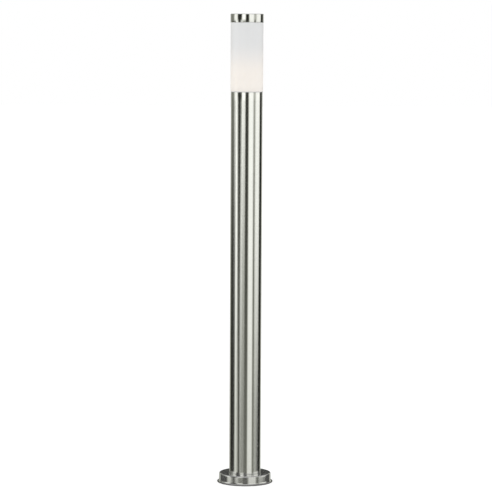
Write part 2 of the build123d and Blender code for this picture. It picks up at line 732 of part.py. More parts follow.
with BuildPart() as neutral_wire:
    add(wire_along((CLAMP_X, 0, wire_start), UP, core(30), (0, TERMINAL_Y, wire_end), UP))
write(neutral_wire, "neutral_wire")

with BuildPart() as earth_wire:
    in_barrel = holder_earth_plane.from_local_coords((0, LUG_REACH - LUG_CRIMP, LUG_BARREL))
    into_barrel = -holder_earth_plane.y_dir
    add(wire_along((CLAMP_X, POLE_PITCH, wire_start), UP, core(150), in_barrel, into_barrel))
write(earth_wire, "earth_wire")

with BuildPart() as earth_jumper:
    in_barrel = (BRACKET_FACE + LUG_BARREL, 0, EARTH_HEIGHT + LUG_REACH - LUG_CRIMP)
    add(wire_along(in_barrel, UP, None, (CLAMP_X, POLE_PITCH, BLOCK_BOTTOM + JUMPER_IN_CLAMP), UP))
write(earth_jumper, "earth_jumper")

# ---------------------------------------------------------------- carrier in the top of the pole

carrier_tip_width = matching_tip_width(
    HEAD_PITCH, HEAD_RIDGE_BASE, HEAD_RIDGE_TIP, HEAD_ROOT, HEAD_CREST, CARRIER_CREST
)
tab_screw_places = both_sides(TAB_SCREW_X)

with BuildPart() as head_carrier:
    add(
        turned(
            (CARRIER_ROOT, CARRIER_TOP),
            (POLE_RADIUS, CARRIER_TOP),
            (POLE_RADIUS, POLE_TOP),
            (CARRIER_RADIUS, POLE_TOP),
            (CARRIER_RADIUS, CARRIER_BOTTOM),
            (LEDGE_RADIUS, CARRIER_BOTTOM),
            (LEDGE_RADIUS, LEDGE_TOP),
            (CARRIER_BORE, LEDGE_TOP),
            (CARRIER_BORE, CARRIER_SHOULDER),
            (CARRIER_ROOT, CARRIER_SHOULDER),
        )
    )
    add(bits(Plane.XY.offset(LEDGE_TOP), M3_HOLE, LEDGE_THICKNESS, tab_screw_places), mode=Mode.SUBTRACT)
    add(
        thread_ridge(
            CARRIER_ROOT,
            CARRIER_CREST,
            HEAD_PITCH,
            CARRIER_TURNS,
            carrier_tip_width + (HEAD_RIDGE_BASE - HEAD_RIDGE_TIP),
            carrier_tip_width,
            HEAD_THREAD_START - HEAD_PITCH / 2,
        )
    )
write(head_carrier, "head_carrier")

with BuildPart() as holder_bracket:
    with BuildSketch(Plane.XZ.offset(-CRADLE_WIDTH / 2)):
        with BuildLine():
            cradle_outside = CRADLE_INSIDE + STRIP
            Polyline(
                (-CRADLE_TAB_END, LEDGE_TOP),
                (-cradle_outside, LEDGE_TOP),
                (-cradle_outside, CRADLE_BOTTOM),
                (cradle_outside, CRADLE_BOTTOM),
                (cradle_outside, LEDGE_TOP),
                (CRADLE_TAB_END, LEDGE_TOP),
                (CRADLE_TAB_END, LEDGE_TOP + STRIP),
                (CRADLE_INSIDE, LEDGE_TOP + STRIP),
                (CRADLE_INSIDE, HOLDER_BOTTOM),
                (-CRADLE_INSIDE, HOLDER_BOTTOM),
                (-CRADLE_INSIDE, LEDGE_TOP + STRIP),
                (-CRADLE_TAB_END, LEDGE_TOP + STRIP),
                close=True,
            )
        make_face()
    extrude(amount=CRADLE_WIDTH)
    add(bits(Plane.XY.offset(LEDGE_TOP + STRIP), M3_HOLE, STRIP, tab_screw_places), mode=Mode.SUBTRACT)
    add(bits(Plane.XY.offset(HOLDER_BOTTOM), M4_HOLE, STRIP), mode=Mode.SUBTRACT)
    add(bits(Plane.XY.offset(HOLDER_BOTTOM), M3_HOLE, STRIP, both_sides(HOLDER_SCREW_X)), mode=Mode.SUBTRACT)
write(holder_bracket, "holder_bracket")

with BuildPart() as carrier_screws:
    for x in (-TAB_SCREW_X, TAB_SCREW_X):
        add(headed_screw(Plane((x, 0, LEDGE_TOP + STRIP)), STRIP + LEDGE_THICKNESS, **M3_SCREW))
write(carrier_screws, "carrier_screws")

with BuildPart() as holder_screws:
    for x in (-HOLDER_SCREW_X, HOLDER_SCREW_X):
        under_cradle = Plane((x, 0, CRADLE_BOTTOM), z_dir=(0, 0, -1))
        add(headed_screw(under_cradle, STRIP + HOLDER_SCREW_DEPTH, **M3_SCREW))
write(holder_screws, "holder_screws")

# ---------------------------------------------------------------- porcelain lampholder

with BuildPart() as lampholder_body:
    add(
        turned(
            (0, HOLDER_BOTTOM),
            (HOLDER_RADIUS - HOLDER_EDGE, HOLDER_BOTTOM),
            (HOLDER_RADIUS, HOLDER_BOTTOM + HOLDER_EDGE),
            (HOLDER_RADIUS, HOLDER_STEP - HOLDER_SLOPE),
            (HOLDER_NECK_RADIUS, HOLDER_STEP),
            (HOLDER_NECK_RADIUS, HOLDER_TOP - HOLDER_EDGE),
            (HOLDER_NECK_RADIUS - HOLDER_EDGE, HOLDER_TOP),
            (SOCKET_RADIUS, HOLDER_TOP),
            (SOCKET_RADIUS, SOCKET_FLOOR),
            (CONTACT_POCKET, SOCKET_FLOOR),
            (CONTACT_POCKET, CONTACT_STRIP_TOP),
            (0, CONTACT_STRIP_TOP),
        )
    )
    # recess for the earth nut and blind holes for the fixing screws
    with BuildSketch(Plane.XY.offset(HOLDER_BOTTOM)):
        Circle(NUT_RECESS_RADIUS)
    extrude(amount=NUT_RECESS, mode=Mode.SUBTRACT)
    with BuildSketch(Plane.XY.offset(HOLDER_BOTTOM)):
        with Locations(*both_sides(HOLDER_SCREW_X)):
            Circle(M3_HOLE)
    extrude(amount=HOLDER_SCREW_DEPTH + OVERCUT / 2, mode=Mode.SUBTRACT)
    # two pockets for the wire terminals, open at the side
    with BuildSketch(Plane.XY.offset(HOLDER_BOTTOM)):
        pocket_start = TERMINAL_Y - TERMINAL_DEPTH / 2 - SLIP
        pocket_end = HOLDER_RADIUS + OVERCUT
        with Locations((0, (pocket_start + pocket_end) / 2), (0, -(pocket_start + pocket_end) / 2)):
            Rectangle(TERMINAL_WIDTH + 2 * POCKET_SIDE_GAP, pocket_end - pocket_start)
    extrude(amount=TERMINAL_TOP + POCKET_HEADROOM - HOLDER_BOTTOM, mode=Mode.SUBTRACT)
    # slot for the contact strip, from the live terminal to the contact's pocket
    with BuildSketch(Plane.XY.offset(CONTACT_STRIP_BOTTOM)):
        slot_width = CONTACT_STRIP_WIDTH + 2 * CONTACT_SLOT_SIDE_GAP
        slot_length = CONTACT_STRIP_LENGTH + 2 * CONTACT_SLOT_END_GAP
        with Locations((0, CONTACT_STRIP_Y)):
            Rectangle(slot_width, slot_length)
    extrude(amount=CONTACT_STRIP, mode=Mode.SUBTRACT)
    # slot for the shell's tail, down to the neutral terminal
    with BuildSketch(Plane.XY.offset(TERMINAL_TOP)):
        with Locations((0, TAIL_Y)):
            Rectangle(TAIL_WIDTH + 2 * TAIL_GAP, TAIL_SHEET + 2 * TAIL_GAP)
    extrude(amount=SOCKET_FLOOR - TERMINAL_TOP, mode=Mode.SUBTRACT)
write(lampholder_body, "lampholder_body")

shell_tip_width = matching_tip_width(
    LAMP_PITCH, LAMP_RIDGE_BASE, LAMP_RIDGE_TIP, LAMP_ROOT, LAMP_CREST, SHELL_CREST
)

with BuildPart() as lampholder_shell:
    add(ring_between(SHELL_BOTTOM, SHELL_TOP, SHELL_RADIUS, SHELL_ROOT))
    with BuildSketch(Plane.XY.offset(TERMINAL_TOP)):
        with Locations((0, TAIL_Y)):
            Rectangle(TAIL_WIDTH, TAIL_SHEET)
    extrude(amount=SHELL_BOTTOM + OVERCUT - TERMINAL_TOP)
    add(
        thread_ridge(
            SHELL_ROOT,
            SHELL_CREST,
            LAMP_PITCH,
            SHELL_TURNS,
            shell_tip_width + (LAMP_RIDGE_BASE - LAMP_RIDGE_TIP),
            shell_tip_width,
            LAMP_THREAD_START - LAMP_PITCH / 2,
        )
    )
write(lampholder_shell, "lampholder_shell")

with BuildPart() as holder_terminals:
    for side in (-1, 1):
        with BuildSketch(Plane.XY.offset(TERMINAL_BOTTOM)):
            with Locations((0, side * TERMINAL_Y)):
                Rectangle(TERMINAL_WIDTH, TERMINAL_DEPTH)
                Circle(WIRE_RADIUS + SLIP, mode=Mode.SUBTRACT)
        extrude(amount=TERMINAL_TOP - TERMINAL_BOTTOM)
        outside = facing(side * 90, TERMINAL_SCREW_HEIGHT, TERMINAL_FACE + OVERCUT)
        add(bits(outside, CLAMP_SCREW_HOLE, TERMINAL_DEPTH / 2 + OVERCUT), mode=Mode.SUBTRACT)
write(holder_terminals, "holder_terminals")

with BuildPart() as holder_terminal_screws:
    for side in (-1, 1):
        on_terminal = facing(side * 90, TERMINAL_SCREW_HEIGHT, TERMINAL_FACE + TERMINAL_SCREW_STAND)
        add(headed_screw(on_terminal, TERMINAL_SCREW_LENGTH, **TERMINAL_SCREW))
write(holder_terminal_screws, "holder_terminal_screws")

with BuildPart() as contact_strip:
    with BuildSketch(Plane.XY.offset(CONTACT_STRIP_BOTTOM)):
        with Locations((0, CONTACT_STRIP_Y)):
            Rectangle(CONTACT_STRIP_WIDTH, CONTACT_STRIP_LENGTH)
    extrude(amount=CONTACT_STRIP)
write(contact_strip, "contact_strip")

with BuildPart() as contact_spring:
    spring_bottom = CONTACT_STRIP_TOP + SPRING_WIRE + SPRING_GAP
    spring_height = CONTACT_TOP - CONTACT_HEAD - SPRING_WIRE - SPRING_GAP - spring_bottom
    with BuildLine() as coil:
        Helix(
            pitch=spring_height / SPRING_COILS,
            height=spring_height,
            radius=SPRING_RADIUS,
            center=(0, 0, spring_bottom),
        )
    with BuildSketch(Plane(origin=coil.line @ 0, z_dir=coil.line % 0)):
        Circle(SPRING_WIRE)
    sweep(is_frenet=True)
write(contact_spring, "contact_spring")

with BuildPart() as centre_contact:
    with BuildSketch(Plane.XY.offset(CONTACT_STRIP_TOP + CONTACT_STEM_GAP)):
        Circle(CONTACT_STEM_RADIUS)
    extrude(amount=CONTACT_TOP - CONTACT_HEAD - CONTACT_STRIP_TOP - CONTACT_STEM_GAP)
    with BuildSketch(Plane.XY.offset(CONTACT_TOP - CONTACT_HEAD)):
        Circle(CONTACT_HEAD_RADIUS)
    extrude(amount=CONTACT_HEAD)
    fillet(centre_contact.edges().group_by(Axis.Z)[-1], radius=CONTACT_EDGE)
write(centre_contact, "centre_contact")

# ---------------------------------------------------------------- lamp

with BuildPart() as lamp_tip:
    with BuildSketch(Plane.XY.offset(CONTACT_TOP)):
        Circle(TIP_RADIUS)
    extrude(amount=TIP_THICKNESS)
    fillet(lamp_tip.edges().group_by(Axis.Z)[0], radius=TIP_EDGE)
write(lamp_tip, "lamp_tip")

with BuildPart() as lamp_insulator:
    add(
        turned(
            (0, CONTACT_TOP + TIP_THICKNESS),
            (INSULATOR_FOOT_RADIUS, CONTACT_TOP + TIP_THICKNESS),
            (INSULATOR_RADIUS, INSULATOR_TOP - INSULATOR_BAND),
            (INSULATOR_RADIUS, INSULATOR_TOP),
            (0, INSULATOR_TOP),
        )
    )
write(lamp_insulator, "lamp_insulator")

with BuildPart() as lamp_cap:
    curl = INSULATOR_RADIUS + SLIP
    cap_inside = LAMP_ROOT - LAMP_CAP_SHEET
    add(
        turned(
            (curl, INSULATOR_TOP - INSULATOR_BAND),
            (LAMP_ROOT, INSULATOR_TOP + LAMP_CAP_CONE),
            (LAMP_ROOT, LAMP_CAP_TOP),
            (cap_inside, LAMP_CAP_TOP),
            (cap_inside, INSULATOR_TOP + LAMP_CAP_CONE + LAMP_CAP_SHEET),
            (curl, INSULATOR_TOP - INSULATOR_BAND + LAMP_CAP_CURL),
        )
    )
    add(
        thread_ridge(
            LAMP_ROOT,
            LAMP_CREST,
            LAMP_PITCH,
            LAMP_TURNS,
            LAMP_RIDGE_BASE,
            LAMP_RIDGE_TIP,
            LAMP_THREAD_START,
        )
    )
write(lamp_cap, "lamp_cap")

with BuildPart() as lamp_housing:
    with BuildSketch(Plane.XZ):
        plug_inside = HOUSING_PLUG - HOUSING_WALL
        seat_inside = HOUSING_SEAT_RADIUS - HOUSING_SEAT_WIDTH
        lean_x, lean_z = HOUSING_LEAN
        with BuildLine():
            Spline(
                (HOUSING_NECK, LAMP_CAP_TOP),
                (HOUSING_WAIST_RADIUS, HOUSING_WAIST_HEIGHT),
                (HOUSING_TOP_RADIUS, HOUSING_TOP),
                tangents=((0, 1), (lean_x, lean_z)),
            )
            Polyline(
                (HOUSING_TOP_RADIUS, HOUSING_TOP),
                (HOUSING_SEAT_RADIUS, HOUSING_TOP),
                (HOUSING_SEAT_RADIUS, HOUSING_SEAT),
                (seat_inside, HOUSING_SEAT),
            )
            Spline(
                (seat_inside, HOUSING_SEAT),
                (HOUSING_WAIST_RADIUS - HOUSING_WALL, HOUSING_WAIST_HEIGHT),
                (plug_inside, LAMP_CAP_TOP),
                tangents=((-lean_x, -lean_z), (0, -1)),
            )
            Polyline(
                (plug_inside, LAMP_CAP_TOP),
                (plug_inside, LAMP_CAP_TOP - HOUSING_PLUG_DEPTH),
                (HOUSING_PLUG, LAMP_CAP_TOP - HOUSING_PLUG_DEPTH),
                (HOUSING_PLUG, LAMP_CAP_TOP),
                (HOUSING_NECK, LAMP_CAP_TOP),
            )
        make_face()
    revolve(axis=Axis.Z)
write(lamp_housing, "lamp_housing")

with BuildPart() as lamp_globe:
    rim_drop = GLOBE_CENTRE - HOUSING_TOP
    inside = GLOBE_RADIUS - GLOBE_WALL
    rim = (sqrt(GLOBE_RADIUS**2 - rim_drop**2), HOUSING_TOP)
    inside_rim = (sqrt(inside**2 - rim_drop**2), HOUSING_TOP)
    with BuildSketch(Plane.XZ):
        with BuildLine():
            ThreePointArc(rim, (GLOBE_RADIUS, GLOBE_CENTRE), (0, GLOBE_CENTRE + GLOBE_RADIUS))
            Line((0, GLOBE_CENTRE + GLOBE_RADIUS), (0, GLOBE_CENTRE + inside))
            ThreePointArc((0, GLOBE_CENTRE + inside), (inside, GLOBE_CENTRE), inside_rim)
            Line(inside_rim, rim)
        make_face()
    revolve(axis=Axis.Z)
write(lamp_globe, "lamp_globe")

with BuildPart() as led_board:
    with BuildSketch(Plane.XY.offset(HOUSING_SEAT)):
        Circle(LED_BOARD_RADIUS)
        with Locations((0, LED_BOARD_HOLE_Y), (0, -LED_BOARD_HOLE_Y)):
            Circle(LED_BOARD_HOLE_RADIUS, mode=Mode.SUBTRACT)
    extrude(amount=LED_BOARD)
write(led_board, "led_board")

with BuildPart() as led_chips:
    with BuildSketch(Plane.XY.offset(HOUSING_SEAT + LED_BOARD)):
        Rectangle(LED_SIZE, LED_SIZE)
        with PolarLocations(LED_CIRCLE, LED_COUNT):
            Rectangle(LED_SIZE, LED_SIZE)
    extrude(amount=LED_HEIGHT)
write(led_chips, "led_chips")

with BuildPart() as driver_board:
    with BuildSketch(Plane.XY.offset(DRIVER_BOTTOM)):
        Rectangle(DRIVER_SHEET, DRIVER_WIDTH)
    extrude(amount=DRIVER_TOP - DRIVER_BOTTOM)
    board_side = DRIVER_SHEET / 2 - DRIVER_SINK
    with BuildSketch(Plane.XY.offset(CAPACITOR_BOTTOM)):
        with Locations((board_side + CAPACITOR_RADIUS, 0)):
            Circle(CAPACITOR_RADIUS)
    extrude(amount=CAPACITOR_HEIGHT)
    with BuildSketch(Plane.XY.offset(COIL_BOTTOM)):
        with Locations((-board_side - COIL_DEPTH / 2, 0)):
            RectangleRounded(COIL_DEPTH, COIL_SIDE, radius=COIL_CORNER)
    extrude(amount=COIL_SIDE)
write(driver_board, "driver_board")

# ---------------------------------------------------------------- head, which unscrews from the carrier

with BuildPart() as head_seal:
    add(ring_between(CARRIER_TOP, SEAL_TOP, POLE_RADIUS + SEAL_LAP, HEAD_CREST + SEAL_LAP))
write(head_seal, "head_seal")

with BuildPart() as head_collar:
    add(
        turned(
            (COLLAR_BORE, COLLAR_BOTTOM),
            (HEAD_ROOT - COLLAR_LEAD, COLLAR_BOTTOM),
            (HEAD_ROOT, COLLAR_BOTTOM + COLLAR_LEAD),
            (HEAD_ROOT, SEAL_TOP),
            (DIFFUSER_BORE - SLIP, SEAL_TOP),
            (DIFFUSER_BORE - SLIP, COLLAR_TOP),
            (COLLAR_BORE + COLLAR_EDGE, COLLAR_TOP),
            (COLLAR_BORE, COLLAR_TOP - COLLAR_EDGE),
        )
    )
    add(
        thread_ridge(
            HEAD_ROOT,
            HEAD_CREST,
            HEAD_PITCH,
            HEAD_TURNS,
            HEAD_RIDGE_BASE,
            HEAD_RIDGE_TIP,
            HEAD_THREAD_START,
        )
    )
write(head_collar, "head_collar")

with BuildPart() as diffuser:
    ceiling = DIFFUSER_TOP - DIFFUSER_WALL
    add(
        turned(
            (DIFFUSER_BORE, SEAL_TOP),
            (DIFFUSER_RADIUS - DIFFUSER_EDGE, SEAL_TOP),
            (DIFFUSER_RADIUS, SEAL_TOP + DIFFUSER_EDGE),
            (DIFFUSER_RADIUS, CAP_BOTTOM - SLIP),
            (NECK_RADIUS, CAP_BOTTOM - SLIP),
            (NECK_RADIUS, DIFFUSER_TOP - NECK_EDGE),
            (NECK_RADIUS - NECK_EDGE, DIFFUSER_TOP),
            (STUD_HOLE, DIFFUSER_TOP),
            (STUD_HOLE, ceiling),
            (DIFFUSER_BORE - DIFFUSER_CORNER, ceiling),
            (DIFFUSER_BORE, ceiling - DIFFUSER_CORNER),
        )
    )
write(diffuser, "diffuser")

cap_ceiling = TOTAL_HEIGHT - CAP_SHEET

with BuildPart() as top_cap:
    with BuildSketch(Plane.XZ):
        cap_inside = CAP_RADIUS - CAP_SHEET
        corner_start = (CAP_RADIUS - CAP_CORNER, TOTAL_HEIGHT)
        corner_end = (CAP_RADIUS, TOTAL_HEIGHT - CAP_CORNER)
        inner_corner_start = (cap_inside, TOTAL_HEIGHT - CAP_CORNER)
        inner_corner_end = (CAP_RADIUS - CAP_CORNER, cap_ceiling)
        with BuildLine():
            Line((0, TOTAL_HEIGHT), corner_start)
            RadiusArc(corner_start, corner_end, CAP_CORNER)
            Polyline(corner_end, (CAP_RADIUS, CAP_BOTTOM), (cap_inside, CAP_BOTTOM), inner_corner_start)
            RadiusArc(inner_corner_start, inner_corner_end, CAP_SHEET - CAP_CORNER)
            Polyline(inner_corner_end, (0, cap_ceiling), (0, TOTAL_HEIGHT))
        make_face()
    revolve(axis=Axis.Z)
write(top_cap, "top_cap")

with BuildPart() as cap_gasket:
    add(ring_between(DIFFUSER_TOP, cap_ceiling, NECK_RADIUS - CAP_GASKET_INSET, CAP_GASKET_BORE))
write(cap_gasket, "cap_gasket")

with BuildPart() as cap_stud:
    with BuildSketch(Plane.XY.offset(cap_ceiling)):
        Circle(STUD_PLATE_RADIUS)
    extrude(amount=-STUD_PLATE)
    with BuildSketch(Plane.XY.offset(cap_ceiling)):
        Circle(STUD_RADIUS)
    extrude(amount=-STUD_LENGTH)
    chamfer(cap_stud.edges().group_by(Axis.Z)[0], length=STUD_EDGE)
write(cap_stud, "cap_stud")

with BuildPart() as cap_washer:
    add(ring_between(WASHER_BOTTOM, WASHER_BOTTOM + WASHER_THICKNESS, WASHER_RADIUS, STUD_HOLE))
write(cap_washer, "cap_washer")

with BuildPart() as cap_nut:
    add(hexagon_nut(Plane.XY.offset(WASHER_BOTTOM), CAP_NUT_FLATS, CAP_NUT_HEIGHT, STUD_RADIUS + SLIP))
write(cap_nut, "cap_nut")
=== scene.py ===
import json
import math
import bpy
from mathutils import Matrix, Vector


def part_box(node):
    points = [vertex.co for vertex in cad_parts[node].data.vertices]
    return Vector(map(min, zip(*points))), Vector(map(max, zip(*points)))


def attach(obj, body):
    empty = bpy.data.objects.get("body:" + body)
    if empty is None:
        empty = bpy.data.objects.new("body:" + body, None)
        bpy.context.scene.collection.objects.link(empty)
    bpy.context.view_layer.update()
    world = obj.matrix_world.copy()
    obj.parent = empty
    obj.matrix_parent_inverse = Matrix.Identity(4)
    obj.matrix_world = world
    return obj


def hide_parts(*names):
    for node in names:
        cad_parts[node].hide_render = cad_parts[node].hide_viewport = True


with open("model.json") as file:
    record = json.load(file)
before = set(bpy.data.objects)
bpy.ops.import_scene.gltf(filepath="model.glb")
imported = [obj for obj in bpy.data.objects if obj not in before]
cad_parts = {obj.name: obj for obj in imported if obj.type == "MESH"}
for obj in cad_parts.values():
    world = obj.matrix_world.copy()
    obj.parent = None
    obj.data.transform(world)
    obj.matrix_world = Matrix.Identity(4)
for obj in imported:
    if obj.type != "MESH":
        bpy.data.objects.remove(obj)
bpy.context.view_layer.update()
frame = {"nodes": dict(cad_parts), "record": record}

from types import SimpleNamespace

import bmesh
import bpy
from mathutils import Matrix, Vector

MM = 0.001
ROUND = 192  # facets round a large turned piece
SMALL_ROUND = 96
ARC_STEPS = 6  # facets in a rounded corner
ARC_SHARE = 0.49  # the most of a side that one rounded corner may take
SMOOTH_ANGLE = math.radians(35)
NEARLY_STRAIGHT = math.radians(5)  # a corner that turns less than twice this is left as it is
SAME_POINT = 1e-7
ON_WALL = 1e-6  # how near a radius has to be to another to count as the same wall, or to zero as on the axis
ON_SEAM = 2e-6  # how near a CAD point has to be to the section plane to count as on it
CUT_SLIVER = 2e-6  # shorter edges than this are closed up after a cut

# Small sizes that several pieces share.
EDGE = 0.25 * MM  # the softened edge of a plain ring
SLIP = 0.05 * MM  # the gap between pieces that only touch
OVERCUT = 1.0 * MM  # how far a cutter runs past the surface that it leaves through


# ---------------------------------------------------------------- reading the CAD frame


def turned(node):
    """Outer and inner radius, lowest and highest level of a round CAD node, in metres."""
    radii = [math.hypot(v.co.x, v.co.y) for v in frame["nodes"][node].data.vertices]
    low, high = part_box(node)
    return max(radii), min(radii), low.z, high.z


def section_of(node, rounding=0.0):
    """The section of a turned CAD node, read off its mesh along its seam on the +X side, corners softened."""
    mesh = frame["nodes"][node].data
    links = {}
    for edge in mesh.edges:
        ends = [mesh.vertices[i].co for i in edge.vertices]
        if any(abs(p.y) > ON_SEAM or p.x < -ON_SEAM for p in ends):
            continue
        a, b = ((round(p.x, 6), round(p.z, 6)) for p in ends)
        if a != b:
            links.setdefault(a, set()).add(b)
            links.setdefault(b, set()).add(a)
    open_ends = [p for p, near in links.items() if len(near) == 1]
    walk = [open_ends[0] if open_ends else min(links)]
    while True:
        onwards = [p for p in links[walk[-1]] if p not in walk]
        if not onwards:
            break
        walk.append(onwards[0])
    corners = [(*p, rounding) if p[0] > ON_SEAM else p for p in walk]
    if open_ends:
        corners = [(0.0, walk[0][1]), *corners, (0.0, walk[-1][1])]
    return loop(*corners)


SLOT_OF = {s["node"]: s["material_slot"] for s in frame["record"]["subparts"]}


# ---------------------------------------------------------------- mesh helpers


def loop(*corners):
    """A section from corners (radius, height) or (radius, height, rounding), with arcs at rounded corners."""
    points = []
    count = len(corners)
    for i, corner in enumerate(corners):
        here = Vector(corner[:2])
        rounding = corner[2] if len(corner) > 2 else 0.0
        back = Vector(corners[i - 1][:2]) - here
        ahead = Vector(corners[(i + 1) % count][:2]) - here
        half = back.angle(ahead, 0.0) / 2
        if not rounding or math.pi / 2 - half < NEARLY_STRAIGHT:
            points.append(tuple(here))
            continue
        reach = min(rounding / math.tan(half), back.length * ARC_SHARE, ahead.length * ARC_SHARE)
        radius = reach * math.tan(half)
        centre = here + (back.normalized() + ahead.normalized()).normalized() * (radius / math.sin(half))
        start = here + back.normalized() * reach - centre
        end = here + ahead.normalized() * reach - centre
        sweep = -start.angle_signed(end)
        for k in range(ARC_STEPS + 1):
            spoke = Matrix.Rotation(sweep * k / ARC_STEPS, 2) @ start
            points.append(tuple(centre + spoke))
    return points


def dense(points, low, high, step):
    """The same closed section, its upright stretches between two heights cut into short steps."""
    out = []
    for i, a in enumerate(points):
        b = points[(i + 1) % len(points)]
        out.append(a)
        upright = abs(a[0] - b[0]) < SAME_POINT
        if upright and min(a[1], b[1]) < high and max(a[1], b[1]) > low:
            pieces = max(1, round(abs(b[1] - a[1]) / step))
            out.extend((a[0], a[1] + (b[1] - a[1]) * k / pieces) for k in range(1, pieces))
    return out


def sheet(outer, thickness):
    """A closed section for pressed sheet: the outer line, its offset to the inside, and half-round edges."""
    points = [Vector(p) for p in outer]
    inner = []
    for i, p in enumerate(points):
        before = points[max(i - 1, 0)]
        after = points[min(i + 1, len(points) - 1)]
        along = (after - before).normalized()
        inner.append(p + Vector((along.y, -along.x)) * thickness)
    far_edge = half_round(points[-1], inner[-1], points[-1] - points[-2])
    near_edge = half_round(inner[0], points[0], points[0] - points[1])
    return [tuple(p) for p in points + far_edge + inner[::-1] + near_edge]


def half_round(a, b, outward):
    """The points between two corners of a sheet's edge, on a half circle that bulges outwards."""
    middle = (a + b) / 2
    side = outward.normalized() * (b - a).length / 2
    turns = [math.pi * k / ARC_STEPS for k in range(1, ARC_STEPS)]
    return [middle + (a - middle) * math.cos(t) + side * math.sin(t) for t in turns]


def arc(centre, radius, start, end, steps=12):
    """Points on a circle in the section plane, from one angle to another in degrees."""
    out = []
    for k in range(steps + 1):
        angle = math.radians(start + (end - start) * k / steps)
        out.append((centre[0] + radius * math.cos(angle), centre[1] + radius * math.sin(angle)))
    return out


def smooth(mesh):
    """Smooth shading, with sharp edges kept sharp."""
    mesh.polygons.foreach_set("use_smooth", [True] * len(mesh.polygons))
    mesh.set_sharp_from_angle(angle=SMOOTH_ANGLE)


def finished_mesh(name, bm):
    """Makes a mesh of the work and closes the work."""
    bmesh.ops.remove_doubles(bm, verts=bm.verts, dist=SAME_POINT)
    bmesh.ops.recalc_face_normals(bm, faces=bm.faces)
    mesh = bpy.data.meshes.new(name)
    bm.to_mesh(mesh)
    bm.free()
    smooth(mesh)
    return mesh


def lathe(name, section, segments=ROUND, wave=None, centre=(0.0, 0.0)):
    """Turns a section of (radius, height) points round an upright axis. Points on the axis close it."""
    bm = bmesh.new()
    rings = []
    for r, z in section:
        if r < ON_WALL:
            rings.append([bm.verts.new((centre[0], centre[1], z))])
            continue
        ring = []
        for k in range(segments):
            angle = 2 * math.pi * k / segments
            radius = wave(r, z, angle) if wave else r
            x = centre[0] + radius * math.cos(angle)
            y = centre[1] + radius * math.sin(angle)
            ring.append(bm.verts.new((x, y, z)))
        rings.append(ring)
    open_section = len(rings[0]) == 1 and len(rings[-1]) == 1
    for i in range(len(rings) - (1 if open_section else 0)):
        a, b = rings[i], rings[(i + 1) % len(rings)]
        if len(a) == 1 and len(b) == 1:
            continue
        for k in range(segments):
            n = (k + 1) % segments
            corners = [a[k % len(a)], a[n % len(a)], b[n % len(b)], b[k % len(b)]]
            bm.faces.new(list(dict.fromkeys(corners)))
    return bpy.data.objects.new(name, finished_mesh(name, bm))


def thread_wave(root, crest, pitch, turns, start, base_width, tip_width):
    """The radius of a threaded wall: a helical ridge on the root radius, dying away at both ends."""
    slope = (base_width - tip_width) / 2
    fades_per_turn = 12  # the ridge rises over a twelfth of a turn

    def radius(r, z, angle):
        if abs(r - root) > ON_WALL:
            return r
        best = 0.0
        first = round((z - start) / pitch - angle / (2 * math.pi))
        for n in (first - 1, first, first + 1):
            run = n + angle / (2 * math.pi)
            if run < 0 or run > turns:
                continue
            away = abs(z - start - run * pitch)
            height = min(1.0, max(0.0, (base_width / 2 - away) / slope))
            fade = min(1.0, min(run, turns - run) * fades_per_turn)
            best = max(best, height * fade)
        return r + (crest - root) * best

    return radius


def cut(piece, *tools):
    """Cuts the tools out of the piece, removes them, and clears slivers and gaps that the cut leaves."""
    for tool in tools:
        bpy.context.scene.collection.objects.link(tool)
        modifier = piece.modifiers.new("cut", "BOOLEAN")
        modifier.operation = "DIFFERENCE"
        modifier.solver = "EXACT"
        modifier.object = tool
    bpy.context.scene.collection.objects.link(piece)
    graph = bpy.context.evaluated_depsgraph_get()
    mesh = bpy.data.meshes.new_from_object(piece.evaluated_get(graph))
    piece.modifiers.clear()
    bpy.context.scene.collection.objects.unlink(piece)
    for tool in tools:
        bpy.data.objects.remove(tool)
    bm = bmesh.new()
    bm.from_mesh(mesh)
    bmesh.ops.dissolve_degenerate(bm, dist=CUT_SLIVER, edges=bm.edges)
    bmesh.ops.triangulate(bm, faces=[f for f in bm.faces if len(f.verts) > 4])
    bmesh.ops.dissolve_degenerate(bm, dist=CUT_SLIVER, edges=bm.edges)
    bmesh.ops.holes_fill(bm, edges=bm.edges, sides=4)
    piece.data = finished_mesh(mesh.name, bm)
    return piece


def hole_tool(x, y, radius, low, high):
    """An upright cylinder to cut with."""
    return lathe("tool", [(0, low), (radius, low), (radius, high), (0, high)], SMALL_ROUND, centre=(x, y))


def facing_out(angle):
    """Turns something that stands along +Z so that it points outwards at an angle in degrees."""
    return Matrix.Rotation(math.radians(angle), 4, "Z") @ Matrix.Rotation(math.pi / 2, 4, "Y")


def block(name, low, high, rounding):
    """A box between two corners with softened edges."""
    bm = bmesh.new()
    bmesh.ops.create_cube(bm, size=1.0)
    size = Vector(high) - Vector(low)
    bmesh.ops.scale(bm, vec=size, verts=bm.verts)
    bmesh.ops.translate(bm, vec=(Vector(high) + Vector(low)) / 2, verts=bm.verts)
    if rounding:
        bmesh.ops.bevel(bm, geom=bm.edges, offset=rounding, segments=3, profile=0.5, affect="EDGES")
    return bpy.data.objects.new(name, finished_mesh(name, bm))


# ---------------------------------------------------------------- material helpers


